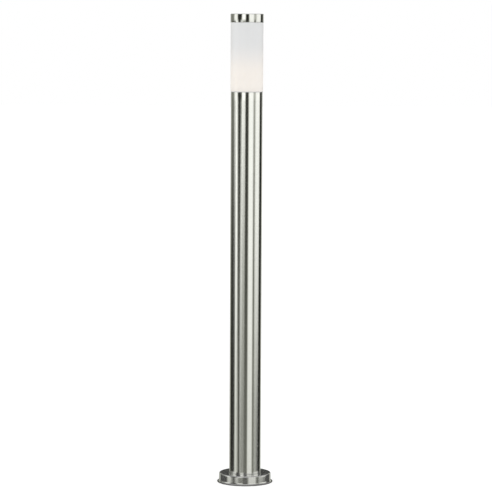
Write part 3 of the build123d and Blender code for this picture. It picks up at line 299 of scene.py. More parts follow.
class Graph:
    """Short calls for building one node tree. A value may be a number, a colour or another node's output."""

    def __init__(self, tree):
        self.tree = tree
        tree.nodes.clear()

    def add(self, kind, values=None, output=0, **settings):
        node = self.tree.nodes.new(kind)
        for key, value in settings.items():
            setattr(node, key, value)
        for key, value in (values or {}).items():
            if isinstance(value, bpy.types.NodeSocket):
                self.tree.links.new(value, node.inputs[key])
            else:
                node.inputs[key].default_value = value
        return node.outputs[output]

    def math(self, operation, a, b=0.0):
        return self.add("ShaderNodeMath", {0: a, 1: b}, operation=operation)

    def times(self, a, b):
        return self.math("MULTIPLY", a, b)

    def plus(self, a, b):
        return self.math("ADD", a, b)

    def ease(self, value, low, high, start=0.0, end=1.0):
        """Goes smoothly from start to end as the value passes from low to high."""
        return self.add(
            "ShaderNodeMapRange",
            {"Value": value, "From Min": low, "From Max": high, "To Min": start, "To Max": end},
            interpolation_type="SMOOTHSTEP",
        )

    def combine(self, x, y, z):
        return self.add("ShaderNodeCombineXYZ", {0: x, 1: y, 2: z})

    def noise(self, vector, scale=1.0, detail=2.0, roughness=0.5):
        return self.add(
            "ShaderNodeTexNoise",
            {"Vector": vector, "Scale": scale, "Detail": detail, "Roughness": roughness},
        )

    def specks(self, vector, scale, size):
        """1 inside small scattered dots, 0 between them."""
        distance = self.add("ShaderNodeTexVoronoi", {"Vector": vector, "Scale": scale})
        return self.ease(distance, 0.0, size, 1.0, 0.0)

    def mix(self, factor, a, b, blend="MIX"):
        node = self.tree.nodes.new("ShaderNodeMix")
        node.data_type = "RGBA"
        node.blend_type = blend
        colour_a, colour_b, colour_out = 6, 7, 2  # where a colour mix has its sockets
        for index, value in ((0, factor), (colour_a, a), (colour_b, b)):
            if isinstance(value, bpy.types.NodeSocket):
                self.tree.links.new(value, node.inputs[index])
            else:
                node.inputs[index].default_value = value
        return node.outputs[colour_out]

    def ramp(self, value, stops):
        """A colour for each value, from stops of (value, colour) in rising order."""
        node = self.tree.nodes.new("ShaderNodeValToRGB")
        elements = node.color_ramp.elements
        while len(elements) < len(stops):
            elements.new(0.5)
        for element, (position, colour) in zip(elements, stops):
            element.position = position
            element.color = colour
        self.tree.links.new(value, node.inputs[0])
        return node.outputs[0]

    def parts(self, vector):
        """The x, y and z of a vector."""
        split = self.tree.nodes.new("ShaderNodeSeparateXYZ")
        self.tree.links.new(vector, split.inputs[0])
        return split.outputs

    def place(self):
        """Where the shaded point is on the piece, in metres: the point, its x, y and z, and its radius."""
        point = self.tree.nodes.new("ShaderNodeTexCoord").outputs["Object"]
        x, y, z = self.parts(point)
        radius = self.math("SQRT", self.plus(self.times(x, x), self.times(y, y)))
        return SimpleNamespace(point=point, x=x, y=y, z=z, radius=radius)

    def stretched(self, at, across, along, height=None):
        """The place with x and y scaled by one number and the height, or what stands for it, by another."""
        height = at.z if height is None else height
        return self.combine(self.times(at.x, across), self.times(at.y, across), self.times(height, along))

    def facing(self, direction):
        """How far the surface faces in a direction: 1 towards it, -1 away from it."""
        normal = self.tree.nodes.new("ShaderNodeNewGeometry").outputs["Normal"]
        return self.add("ShaderNodeVectorMath", {0: normal, 1: direction}, 1, operation="DOT_PRODUCT")

    def bump(self, height, strength, distance):
        return self.add("ShaderNodeBump", {"Height": height, "Strength": strength, "Distance": distance})


def grey(level):
    return (level, level, level, 1.0)


def rgb(r, g, b):
    return (r, g, b, 1.0)


def shaded(colour, share):
    """A plain colour made darker or paler."""
    return tuple(channel * share for channel in colour)


def surface(name):
    """A new material with one principled shader: the material, its graph and a function that sets inputs."""
    material = bpy.data.materials.new(name)
    material.use_nodes = True
    graph = Graph(material.node_tree)
    shader = material.node_tree.nodes.new("ShaderNodeBsdfPrincipled")
    output = material.node_tree.nodes.new("ShaderNodeOutputMaterial")
    material.node_tree.links.new(shader.outputs[0], output.inputs[0])

    def set_inputs(**values):
        for key, value in values.items():
            socket = shader.inputs[key.replace("_", " ")]
            if isinstance(value, bpy.types.NodeSocket):
                material.node_tree.links.new(value, socket)
            else:
                socket.default_value = value

    return material, graph, set_inputs


# ---------------------------------------------------------------- materials


def brushed_steel(name, tint, rough, spread=0.75, dull=0.0, foot_shade=0.0):
    """Stainless sheet brushed in rings round the axis, with water marks, smears, splash dirt low down and
    painted shade at its foot.

    Spread is how far the brushing draws reflections out, dull is how much of the metal's shine is lost, and
    the last argument is how strongly the lowest few millimetres are darkened with painted shade.
    """
    material, g, inputs = surface(name)
    at = g.place()
    splash_top = 160 * MM
    # heights between which the painted shade at the foot fades out
    foot_shade_low, foot_shade_top = 0.8 * MM, 3.6 * MM
    line = g.plus(at.z, at.radius)  # runs across the brushing on walls and on flat tops alike
    fine = g.noise(g.stretched(at, 14, 2600, line), detail=3, roughness=0.6)
    streak = g.noise(g.stretched(at, 5, 330, line), detail=2)
    cloud = g.noise(g.stretched(at, 26, 9), detail=4, roughness=0.62)
    smear = g.ease(g.noise(at.point, scale=17, detail=5, roughness=0.7), 0.53, 0.72)
    marks = g.specks(at.point, 62, 0.19)
    drops = g.ease(g.noise(at.point, scale=90, detail=5, roughness=0.7), 0.36, 0.68)
    splash = g.times(g.times(g.ease(at.z, 0.0, splash_top, 1.0, 0.0), drops), 0.12)
    # painted shade: darkest at the floor and gone a few millimetres up
    painted_foot_shade = g.ease(at.z, foot_shade_low, foot_shade_top, foot_shade, 0.0)
    colour = g.mix(cloud, rgb(*shaded(tint, 0.86)), rgb(*tint))
    colour = g.mix(g.times(streak, 0.10), colour, rgb(0.42, 0.42, 0.41))
    colour = g.mix(g.times(marks, 0.05), colour, rgb(0.50, 0.49, 0.46))
    colour = g.mix(g.times(splash, 0.55), colour, rgb(0.20, 0.18, 0.15))
    # the painted shade at the foot darkens the colour
    colour = g.mix(painted_foot_shade, colour, rgb(0.055, 0.055, 0.05))
    roughness = g.plus(g.plus(rough - 0.025, g.times(fine, 0.03)), g.times(streak, 0.02))
    roughness = g.plus(roughness, g.times(smear, 0.015))
    roughness = g.plus(roughness, g.times(marks, 0.02))
    roughness = g.plus(roughness, g.times(splash, 0.22))
    flat = g.math("ABSOLUTE", g.facing((0.0, 0.0, 1.0)))
    inputs(
        Base_Color=colour,
        Metallic=g.math("SUBTRACT", 1.0 - dull, g.times(splash, 0.2)),
        Roughness=g.plus(roughness, g.times(flat, 0.14)),
        Anisotropic=spread,
        Anisotropic_Rotation=0.25,
        Tangent=g.add("ShaderNodeTangent", direction_type="RADIAL", axis="Z"),
        Normal=g.bump(g.plus(fine, g.times(streak, 0.6)), 0.10, 0.00008),
    )
    return material


def opal_acrylic():
    """Milky satin acrylic, dusty, with a warm painted glow from the lamp inside, a little less where painted
    shade marks the collar behind it.
    """
    material, g, inputs = surface("opal_acrylic")
    at = g.place()
    globe_low, globe_high = (corner.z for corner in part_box("lamp_globe"))
    lamp_level = globe_low * 0.62 + globe_high * 0.38
    collar_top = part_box("head_collar")[1].z
    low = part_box("diffuser")[0].z
    # painted lamp light: a warm tint and glow, strongest just above the lamp's level and gone some 9 cm
    # higher
    painted_lamp_glow = g.ease(at.z, lamp_level + 6 * MM, lamp_level + 92 * MM, 1.0, 0.0)
    milk = g.noise(at.point, scale=34, detail=4, roughness=0.6)
    flow = g.noise(g.stretched(at, 60, 6), detail=3)
    dust = g.specks(at.point, 210, 0.22)
    film = g.times(g.ease(at.z, low, low + 10 * MM, 1.0, 0.0), g.ease(milk, 0.35, 0.7))
    clear = g.ease(at.z, collar_top - 8 * MM, collar_top + 4 * MM, 0.0, 1.0)  # above the collar behind the acrylic, clear of its painted shade
    colour = g.mix(milk, rgb(0.655, 0.660, 0.660), rgb(0.670, 0.674, 0.674))
    # the warm painted tint of the lamp's light
    colour = g.mix(g.times(painted_lamp_glow, 0.8), colour, rgb(0.69, 0.645, 0.60))
    colour = g.mix(g.times(dust, 0.10), colour, rgb(0.45, 0.42, 0.38))
    colour = g.mix(g.times(film, 0.16), colour, rgb(0.50, 0.47, 0.42))
    # painted shade: the painted glow is a tenth weaker below the collar's top
    lamp_light = g.times(painted_lamp_glow, g.plus(0.90, g.times(clear, 0.10)))
    inputs(
        Base_Color=colour,
        Subsurface_Weight=0.25,
        Subsurface_Radius=(1.0, 0.94, 0.86),
        Subsurface_Scale=4 * MM,
        Roughness=g.plus(0.30, g.plus(g.times(milk, 0.07), g.times(dust, 0.2))),
        Specular_IOR_Level=0.24,
        Coat_Weight=0.04,
        Coat_Roughness=0.28,
        # the acrylic glows with painted lamp light, faintly even far from the lamp
        Emission_Color=g.mix(painted_lamp_glow, rgb(0.95, 0.95, 1.0), rgb(1.0, 0.93, 0.83)),
        Emission_Strength=g.plus(0.010, g.times(lamp_light, 0.135)),
        Normal=g.bump(g.plus(flow, g.times(milk, 0.5)), 0.05, 0.0004),
    )
    return material


def rubber(name, colour, dusty):
    """Moulded rubber: fine grain, a slightly shiny skin and pale dust in its low spots."""
    material, g, inputs = surface(name)
    at = g.place()
    grain = g.noise(at.point, scale=2200, detail=2)
    skin = g.noise(at.point, scale=120, detail=4, roughness=0.6)
    bloom = g.times(g.ease(g.noise(at.point, scale=48, detail=5, roughness=0.7), 0.45, 0.75), dusty)
    tone = g.mix(skin, rgb(*shaded(colour, 0.75)), rgb(*shaded(colour, 1.25)))
    inputs(
        Base_Color=g.mix(bloom, tone, rgb(0.36, 0.34, 0.31)),
        Roughness=g.plus(0.58, g.times(skin, 0.22)),
        Specular_IOR_Level=0.35,
        Normal=g.bump(g.plus(grain, g.times(skin, 2.0)), 0.22, 0.0002),
    )
    return material


def silicone():
    """Pale grey silicone, clouded, with a little dust stuck to it."""
    material, g, inputs = surface("silicone")
    at = g.place()
    cloud = g.noise(at.point, scale=260, detail=4)
    dust = g.specks(at.point, 700, 0.2)
    inputs(
        Base_Color=g.mix(g.times(dust, 0.2), g.mix(cloud, grey(0.50), grey(0.58)), rgb(0.35, 0.33, 0.3)),
        Roughness=g.plus(0.48, g.times(cloud, 0.2)),
        Specular_IOR_Level=0.3,
        Normal=g.bump(cloud, 0.12, 0.0002),
    )
    return material


def cast_aluminium():
    """Sand-cast skin with machined rings, dulled by oxide."""
    material, g, inputs = surface("cast_aluminium")
    at = g.place()
    skin = g.noise(at.point, scale=420, detail=6, roughness=0.65)
    rings = g.math("SINE", g.times(at.radius, 9000))
    oxide = g.ease(g.noise(at.point, scale=60, detail=5, roughness=0.7), 0.42, 0.74)
    inputs(
        Base_Color=g.mix(g.times(oxide, 0.55), g.mix(skin, grey(0.50), grey(0.64)), rgb(0.68, 0.67, 0.64)),
        Metallic=g.math("SUBTRACT", 1.0, g.times(oxide, 0.45)),
        Roughness=g.plus(0.40, g.plus(g.times(skin, 0.16), g.times(oxide, 0.15))),
        Normal=g.bump(g.plus(skin, g.times(rings, 0.12)), 0.35, 0.0003),
    )
    return material


def plain_metal(name, light, dark, rough, grain_scale=900, stain=None):
    """A small metal part: drawn or turned grain, tonal drift and light staining."""
    material, g, inputs = surface(name)
    at = g.place()
    grain = g.noise(at.point, scale=grain_scale, detail=4, roughness=0.65)
    drift = g.noise(at.point, scale=140, detail=3)
    spots = g.ease(g.noise(at.point, scale=330, detail=5, roughness=0.7), 0.56, 0.72)
    colour = g.mix(drift, rgb(*dark), rgb(*light))
    colour = g.mix(g.times(spots, 0.5), colour, rgb(*(stain or dark)))
    inputs(
        Base_Color=colour,
        Metallic=1.0,
        Roughness=g.plus(rough, g.plus(g.times(grain, 0.14), g.times(spots, 0.12))),
        Normal=g.bump(g.plus(grain, g.times(drift, 0.4)), 0.12, 0.0001),
    )
    return material


def zinc_plate():
    """Passivated zinc: pale steel with patches that lean blue and yellow."""
    material, g, inputs = surface("zinc_plate")
    at = g.place()
    patch = g.noise(at.point, scale=95, detail=3, roughness=0.6)
    grain = g.noise(at.point, scale=1100, detail=4)
    tone = g.ramp(
        patch,
        [
            (0.30, rgb(0.60, 0.64, 0.72)),
            (0.45, rgb(0.70, 0.71, 0.70)),
            (0.56, rgb(0.76, 0.73, 0.60)),
            (0.70, rgb(0.66, 0.68, 0.72)),
        ],
    )
    inputs(
        Base_Color=g.mix(g.times(grain, 0.25), tone, grey(0.45)),
        Metallic=1.0,
        Roughness=g.plus(0.24, g.times(grain, 0.2)),
        Normal=g.bump(grain, 0.14, 0.0001),
    )
    return material


def moulded(name, light, dark, rough, gloss=0.4, texture=1400, depth=0.0001):
    """Moulded plastic: spark-eroded grain, faint flow marks and a few scuffs."""
    material, g, inputs = surface(name)
    at = g.place()
    grain = g.noise(at.point, scale=texture, detail=3, roughness=0.6)
    flow = g.noise(g.stretched(at, 90, 35), detail=3)
    scuff = g.ease(g.noise(at.point, scale=230, detail=6, roughness=0.75), 0.60, 0.74)
    paler = [min(1.0, channel * 1.15 + 0.03) for channel in light]
    colour = g.mix(flow, rgb(*dark), rgb(*light))
    inputs(
        Base_Color=g.mix(g.times(scuff, 0.35), colour, rgb(*paler)),
        Roughness=g.plus(rough, g.plus(g.times(grain, 0.12), g.times(scuff, 0.15))),
        Specular_IOR_Level=gloss,
        Normal=g.bump(g.plus(grain, g.times(flow, 0.5)), 0.2, depth),
    )
    return material


def porcelain():
    """Glazed porcelain: cream body, iron specks and a thick glaze."""
    material, g, inputs = surface("porcelain")
    at = g.place()
    body = g.noise(at.point, scale=70, detail=4)
    specks = g.specks(at.point, 520, 0.13)
    pool = g.noise(at.point, scale=160, detail=2)
    cream = g.mix(body, rgb(0.68, 0.66, 0.60), rgb(0.77, 0.76, 0.71))
    inputs(
        Base_Color=g.mix(g.times(specks, 0.4), cream, rgb(0.30, 0.22, 0.15)),
        Subsurface_Weight=0.15,
        Subsurface_Scale=1 * MM,
        Roughness=g.plus(0.22, g.times(pool, 0.15)),
        Coat_Weight=0.9,
        Coat_Roughness=0.06,
        Normal=g.bump(pool, 0.10, 0.0003),
    )
    return material


def insulation(name, first, second=None):
    """Wire insulation, with a lengthwise second colour if it has one."""
    material, g, inputs = surface(name)
    at = g.place()
    waver = g.noise(at.point, scale=300, detail=3)
    colour = g.mix(waver, rgb(*shaded(first, 0.82)), rgb(*first))
    if second:
        side = g.facing((0.6, 0.8, 0.0))
        colour = g.mix(g.ease(side, -0.03, 0.03), colour, rgb(*second))
    inputs(
        Base_Color=colour,
        Roughness=g.plus(0.34, g.times(waver, 0.16)),
        Specular_IOR_Level=0.45,
        Normal=g.bump(waver, 0.15, 0.0001),
    )
    return material


def frosted_globe():
    """The lamp's frosted bulb, faintly lit from inside."""
    material, g, inputs = surface("frosted_globe")
    at = g.place()
    frost = g.noise(at.point, scale=1500, detail=3)
    low, high = (corner.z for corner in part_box("lamp_globe"))
    inputs(
        Base_Color=g.mix(frost, grey(0.66), grey(0.76)),
        Subsurface_Weight=0.4,
        Subsurface_Scale=3 * MM,
        Roughness=g.plus(0.42, g.times(frost, 0.2)),
        Emission_Color=rgb(1.0, 0.93, 0.82),
        Emission_Strength=g.ease(at.z, low, high, 0.16, 0.04),
        Normal=g.bump(frost, 0.1, 0.0001),
    )
    return material


def circuit_board(name, mask, copper):
    """A printed board: solder mask with tracks showing through and bright pads."""
    material, g, inputs = surface(name)
    at = g.place()
    grid = g.add("ShaderNodeTexVoronoi", {"Vector": at.point, "Scale": 260}, distance="CHEBYCHEV")
    tracks = g.ease(g.math("FRACT", g.times(g.plus(at.x, at.y), 420)), 0.42, 0.50)
    pads = g.ease(grid, 0.16, 0.22, 1.0, 0.0)
    tone = g.mix(g.times(tracks, 0.35), rgb(*mask), rgb(*copper))
    inputs(
        Base_Color=g.mix(g.times(pads, 0.8), tone, rgb(0.72, 0.71, 0.68)),
        Metallic=g.times(pads, 0.8),
        Roughness=g.plus(0.28, g.times(tracks, 0.08)),
        Normal=g.bump(g.plus(tracks, pads), 0.2, 0.0001),
    )
    return material


def phosphor():
    """The yellow coating of an LED chip, faintly lit."""
    material, g, inputs = surface("phosphor")
    at = g.place()
    grain = g.noise(at.point, scale=2600, detail=3)
    inputs(
        Base_Color=g.mix(grain, rgb(0.85, 0.62, 0.12), rgb(0.95, 0.78, 0.25)),
        Roughness=g.plus(0.45, g.times(grain, 0.2)),
        Emission_Color=rgb(1.0, 0.85, 0.5),
        Emission_Strength=0.4,
        Normal=g.bump(grain, 0.2, 0.0001),
    )
    return material


STEEL_TINT = (0.82, 0.82, 0.81)
MATERIALS = {
    "satin_stainless": brushed_steel("satin_stainless", STEEL_TINT, 0.15),
    "cap_stainless": brushed_steel("cap_stainless", shaded(STEEL_TINT, 0.92), 0.12, spread=0.5),
    # the spun cover is darkened at its foot with painted shade
    "spun_stainless": brushed_steel(
        "spun_stainless", shaded(STEEL_TINT, 0.74), 0.085, spread=0.5, dull=0.11, foot_shade=0.85
    ),
    "opal_acrylic": opal_acrylic(),
    "cast_aluminium": cast_aluminium(),
    "black_rubber": rubber("black_rubber", (0.022, 0.022, 0.023), 0.22),
    "silicone": silicone(),
    "plated_steel": zinc_plate(),
    "stainless_fixing": plain_metal("stainless_fixing", (0.66, 0.66, 0.65), (0.50, 0.50, 0.50), 0.20),
    "black_polyamide": moulded("black_polyamide", (0.030, 0.030, 0.032), (0.018, 0.018, 0.020), 0.42),
    "grey_polyamide": moulded("grey_polyamide", (0.58, 0.58, 0.57), (0.50, 0.50, 0.50), 0.40),
    "brass": plain_metal("brass", (0.80, 0.62, 0.30), (0.62, 0.45, 0.20), 0.22, stain=(0.34, 0.22, 0.10)),
    "nickel_brass": plain_metal("nickel_brass", (0.76, 0.72, 0.63), (0.60, 0.56, 0.48), 0.18),
    "tinned_copper": plain_metal("tinned_copper", (0.78, 0.77, 0.74), (0.62, 0.61, 0.60), 0.26),
    "spring_steel": plain_metal("spring_steel", (0.52, 0.52, 0.53), (0.36, 0.36, 0.38), 0.20),
    "porcelain": porcelain(),
    "sheath_black": rubber("sheath_black", (0.026, 0.026, 0.028), 0.10),
    "wire_brown": insulation("wire_brown", (0.20, 0.075, 0.025)),
    "wire_blue": insulation("wire_blue", (0.025, 0.13, 0.52)),
    "wire_green_yellow": insulation("wire_green_yellow", (0.07, 0.36, 0.06), (0.82, 0.66, 0.04)),
    "lamp_white": moulded("lamp_white", (0.84, 0.84, 0.82), (0.78, 0.78, 0.77), 0.36),
    "lamp_globe_opal": frosted_globe(),
    "lamp_screw_nickel": plain_metal("lamp_screw_nickel", (0.80, 0.79, 0.76), (0.66, 0.65, 0.62), 0.16),
    "black_vitrite": moulded("black_vitrite", (0.020, 0.018, 0.022), (0.010, 0.010, 0.012), 0.10, gloss=0.6),
    "board_white": circuit_board("board_white", (0.80, 0.81, 0.79), (0.66, 0.68, 0.66)),
    "board_green": circuit_board("board_green", (0.030, 0.17, 0.07), (0.09, 0.30, 0.12)),
    "led_phosphor": phosphor(),
}


def show(piece, body, *nodes, finish=None):
    """Puts a new piece in the scene in place of CAD nodes, riding on their body.

    Its material is that of the nodes' slot, or a finish of its own.
    """
    bpy.context.scene.collection.objects.link(piece)
    slot = SLOT_OF[nodes[0]]
    piece.data.materials.clear()
    piece.data.materials.append(MATERIALS[finish or slot])
    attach(piece, body)
    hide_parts(*nodes)
    return piece


# ---------------------------------------------------------------- post and foot

POLE_STEP = 20 * MM  # length of one face along the tube

SPIGOT_WALL = 3.0 * MM
SPIGOT_CLEARANCE = 0.2 * MM
POLE_SCREW_ANGLES = (60, 180, 300)
POLE_SCREW_HOLE = 2.55 * MM
PILLAR_THICKNESS = 6.0 * MM
PILLAR_WIDTH = 18.0 * MM
PILLAR_SINK = 1.0 * MM  # how deep the pillar runs into the plate

GROMMET_RIM = 2.0 * MM
GROMMET_CONE_RADIUS = 11.0 * MM
GROMMET_CONE_FOOT = 3.5 * MM
GROMMET_MOUTH_RADIUS = 7.5 * MM


def pole_tube():
    """The tube, cut into short faces so that its shading stays even."""
    outer, inner, low, high = turned("pole")
    section = loop((outer, low, EDGE), (outer, high, EDGE), (inner, high, EDGE), (inner, low, EDGE))
    show(lathe("pole_tube", dense(section, low, high, POLE_STEP)), "post", "pole")


def anchor_tools(low, high):
    """Cutters for the anchor holes through a plate between two heights."""
    holes = next(mount for mount in frame["record"]["mounts"] if mount["name"] == "anchor_holes")["dims"]
    reach = holes["pcd_mm"] / 2 * MM
    tools = []
    for k in range(holes["count"]):
        angle = 2 * math.pi * k / holes["count"]
        x, y = reach * math.cos(angle), reach * math.sin(angle)
        tools.append(hole_tool(x, y, holes["hole_r_mm"] * MM, low - OVERCUT, high + OVERCUT))
    return tools


def foot_gasket():
    """The rubber ring under the flange."""
    outer, inner, low, high = turned("ground_gasket")
    section = loop((outer, low, 0.3 * MM), (outer, high, 0.3 * MM), (inner, high), (inner, low))
    show(cut(lathe("foot_gasket", section), *anchor_tools(low, high)), "post", "ground_gasket")


def flange_casting():
    """The cast plate with its spigot, drilled for the anchors and the post's screws."""
    outer, hole, low, top = turned("base_flange")
    _, pole_bore, plate_top, _ = turned("pole")
    spigot = pole_bore - SPIGOT_CLEARANCE
    spigot_bore = spigot - SPIGOT_WALL
    section = loop(
        (hole, low, 0.4 * MM),
        (outer, low, 0.3 * MM),
        (outer, plate_top, 1.2 * MM),
        (spigot, plate_top, 0.8 * MM),
        (spigot, top, 1.4 * MM),
        (spigot_bore, top, 0.4 * MM),
        (spigot_bore, plate_top, 1.0 * MM),
        (hole, plate_top, 0.4 * MM),
    )
    screws_low, screws_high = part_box("pole_screws")
    to_screw_level = Matrix.Translation((0, 0, (screws_low.z + screws_high.z) / 2))
    tools = anchor_tools(low, plate_top)
    for angle in POLE_SCREW_ANGLES:
        drill = hole_tool(0.0, 0.0, POLE_SCREW_HOLE, spigot_bore - OVERCUT, spigot + OVERCUT)
        drill.data.transform(to_screw_level @ facing_out(angle))
        tools.append(drill)
    show(cut(lathe("base_flange_casting", section), *tools), "post", "base_flange")


def flange_pillar():
    """The pad inside the spigot that the terminal bracket is screwed to."""
    top = turned("base_flange")[3]
    plate_top = turned("pole")[2]
    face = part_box("terminal_bracket")[0].x
    near = (face - PILLAR_THICKNESS, -PILLAR_WIDTH / 2, plate_top - PILLAR_SINK)
    far = (face, PILLAR_WIDTH / 2, top)
    show(block("base_flange_pillar", near, far, 0.6 * MM), "post", "base_flange")


def entry_grommet():
    """The cable grommet, gripping the edge of the flange's opening in its groove."""
    outer, bore, low, high = turned("cable_grommet")
    _, flange_hole, plate_low, _ = turned("base_flange")
    plate_top = turned("pole")[2]
    groove = flange_hole - SLIP
    section = loop(
        (bore, low, 0.4 * MM),
        (outer, low, 0.4 * MM),
        (outer, plate_low),
        (groove, plate_low),
        (groove, plate_top),
        (outer, plate_top),
        (outer, plate_top + GROMMET_RIM, 0.6 * MM),
        (GROMMET_CONE_RADIUS, plate_top + GROMMET_CONE_FOOT, 1.5 * MM),
        (GROMMET_MOUTH_RADIUS, high, 0.6 * MM),
        (bore, high, 0.4 * MM),
    )
    show(lathe("entry_grommet", section, SMALL_ROUND), "post", "cable_grommet")


# ---------------------------------------------------------------- base cover and its ring

COVER_SHEET = 1.0 * MM
COVER_CORNER = 3.0 * MM
COVER_FLARE = 4.8 * MM
FLARE_END = 263  # where the flare's arc stops, in degrees: just short of flat
RING_LIP = 0.8 * MM  # how deep the cover's edge sits in its ring


def cover_shell():
    """The spun cover: a rounded top edge, an upright wall and a flare at its foot."""
    foot, hole, low, high = turned("base_cover")
    wall = foot - COVER_FLARE
    outer = [(hole + COVER_SHEET / 2, high)]
    outer += arc((wall - COVER_CORNER, high - COVER_CORNER), COVER_CORNER, 90, 0)
    outer += arc((foot, low + COVER_SHEET + COVER_FLARE), COVER_FLARE, 180, FLARE_END)
    shell = lathe("base_cover_shell", sheet(outer, COVER_SHEET))
    show(shell, "cover", "base_cover", finish="spun_stainless")


def cover_grip_ring():
    """The rubber ring under the cover's top, which shows as a dark line round the post."""
    outer, inner, low, high = turned("cover_ring")
    cover_hole = turned("base_cover")[1]
    section = loop(
        (inner, low, 0.5 * MM),
        (outer, low, 1.0 * MM),
        (outer, high - RING_LIP),
        (cover_hole - SLIP, high - RING_LIP),
        (cover_hole - SLIP, high, 0.2 * MM),
        (inner, high, 0.2 * MM),
    )
    show(lathe("cover_grip_ring", section), "cover", "cover_ring")


# ---------------------------------------------------------------- head

CAP_SKIN = 0.8 * MM
DIFFUSER_WALL = 2.6 * MM
DIFFUSER_NECK_STEP = 0.55 * MM  # how much narrower the diffuser is inside the cap
DIFFUSER_STEP = 10 * MM  # length of one face along the diffuser


def cap_shell():
    """The pressed steel cap, flat on top, with a small rounded edge."""
    outer, _, low, high = turned("top_cap")
    section = loop(
        (0, high),
        (outer, high, 1.6 * MM),
        (outer, low, 0.3 * MM),
        (outer - CAP_SKIN, low, 0.3 * MM),
        (outer - CAP_SKIN, high - CAP_SKIN, 0.8 * MM),
        (0, high - CAP_SKIN),
    )
    show(lathe("top_cap_shell", section), "head", "top_cap", finish="cap_stainless")


def opal_diffuser():
    """The opal cylinder, closed at the top but for the stud's hole, with a narrower neck inside the cap."""
    outer, stud_hole, low, high = turned("diffuser")
    neck_low = turned("top_cap")[2] - SLIP
    neck = outer - DIFFUSER_NECK_STEP
    section = loop(
        (outer - DIFFUSER_WALL, low, 0.2 * MM),
        (outer, low, 0.5 * MM),
        (outer, neck_low, 0.2 * MM),
        (neck, neck_low),
        (neck, high, 1.0 * MM),
        (stud_hole, high, 0.3 * MM),
        (stud_hole, high - DIFFUSER_WALL, 0.3 * MM),
        (outer - DIFFUSER_WALL, high - DIFFUSER_WALL, 3.0 * MM),
    )
    show(lathe("opal_diffuser", dense(section, low, high, DIFFUSER_STEP)), "head", "diffuser")


def rim_seal():
    """The flat silicone ring between head and post."""
    outer, inner, low, high = turned("head_seal")
    section = loop((inner, low, EDGE), (outer, low, EDGE), (outer, high, EDGE), (inner, high, EDGE))
    show(lathe("rim_seal", section), "seal", "head_seal")


# ---------------------------------------------------------------- screw threads

HEAD_PITCH = 4.0 * MM
LAMP_PITCH = 3.629 * MM
HEAD_RIDGE_START = turned("head_collar")[2] + 2.2 * MM
LAMP_RIDGE_START = turned("lamp_cap")[2] + 3.9 * MM
# An outer ridge and the inner one that takes it stand half a pitch apart.
COLLAR_RIDGE = {
    "root": 32.4 * MM,
    "crest": 33.4 * MM,
    "pitch": HEAD_PITCH,
    "turns": 2.5,
    "start": HEAD_RIDGE_START,
    "base_width": 2.4 * MM,
    "tip_width": 1.2 * MM,
}
CARRIER_RIDGE = {
    "root": 33.6 * MM,
    "crest": 32.6 * MM,
    "pitch": HEAD_PITCH,
    "turns": 2.9,
    "start": HEAD_RIDGE_START - HEAD_PITCH / 2,
    "base_width": 2.74 * MM,
    "tip_width": 1.54 * MM,
}
LAMP_RIDGE = {
    "root": 12.1 * MM,
    "crest": 13.15 * MM,
    "pitch": LAMP_PITCH,
    "turns": 4.0,
    "start": LAMP_RIDGE_START,
    "base_width": 2.4 * MM,
    "tip_width": 0.8 * MM,
}
SHELL_RIDGE = {
    "root": 13.3 * MM,
    "crest": 12.3 * MM,
    "pitch": LAMP_PITCH,
    "turns": 4.5,
    "start": LAMP_RIDGE_START - LAMP_PITCH / 2,
    "base_width": 2.52 * MM,
    "tip_width": 1.0 * MM,
}
THREAD_STEP = 0.22 * MM

COLLAR_LEAD = 0.6 * MM
CARRIER_BODY_STEP = 1.3 * MM  # how much narrower the carrier's body is than its rim
CARRIER_BORE = 31.5 * MM
CARRIER_SHOULDER = 18.5 * MM  # height of the shoulder under the thread, above the carrier's foot
BRACKET_STRIP = 1.5 * MM
TAB_SCREW_X = 27.4 * MM
TAB_SCREW_HOLE = 1.55 * MM
LAMP_CAP_SKIN = 0.6 * MM
LAMP_CAP_TAPER = 2.2 * MM
LAMP_CAP_INNER_FOOT = 1.0 * MM
SHELL_LENGTH = 22.5 * MM
TAIL_WIDTH = 5.0 * MM
TAIL_THICKNESS = 0.7 * MM
TAIL_LAP = 1.0 * MM  # how far the tail runs up beside the shell


def threaded(name, section, ridge, segments=ROUND):
    """A turned piece with a helical ridge on the wall at the ridge's root radius."""
    low = ridge["start"] - ridge["base_width"]
    high = ridge["start"] + ridge["turns"] * ridge["pitch"] + ridge["base_width"]
    return lathe(name, dense(section, low, high, THREAD_STEP), segments, thread_wave(**ridge))


def head_collar_ring():
    """The ring bonded in the diffuser, with the head's outer thread below it."""
    outer, bore, low, high = turned("head_collar")
    root = COLLAR_RIDGE["root"]
    shoulder = turned("head_seal")[3]
    section = loop(
        (bore, low, 0.2 * MM),
        (root - COLLAR_LEAD, low),
        (root, low + COLLAR_LEAD),
        (root, shoulder, 0.2 * MM),
        (outer, shoulder),
        (outer, high, 0.3 * MM),
        (bore, high, 0.8 * MM),
    )
    show(threaded("head_collar_ring", section, COLLAR_RIDGE), "head", "head_collar")


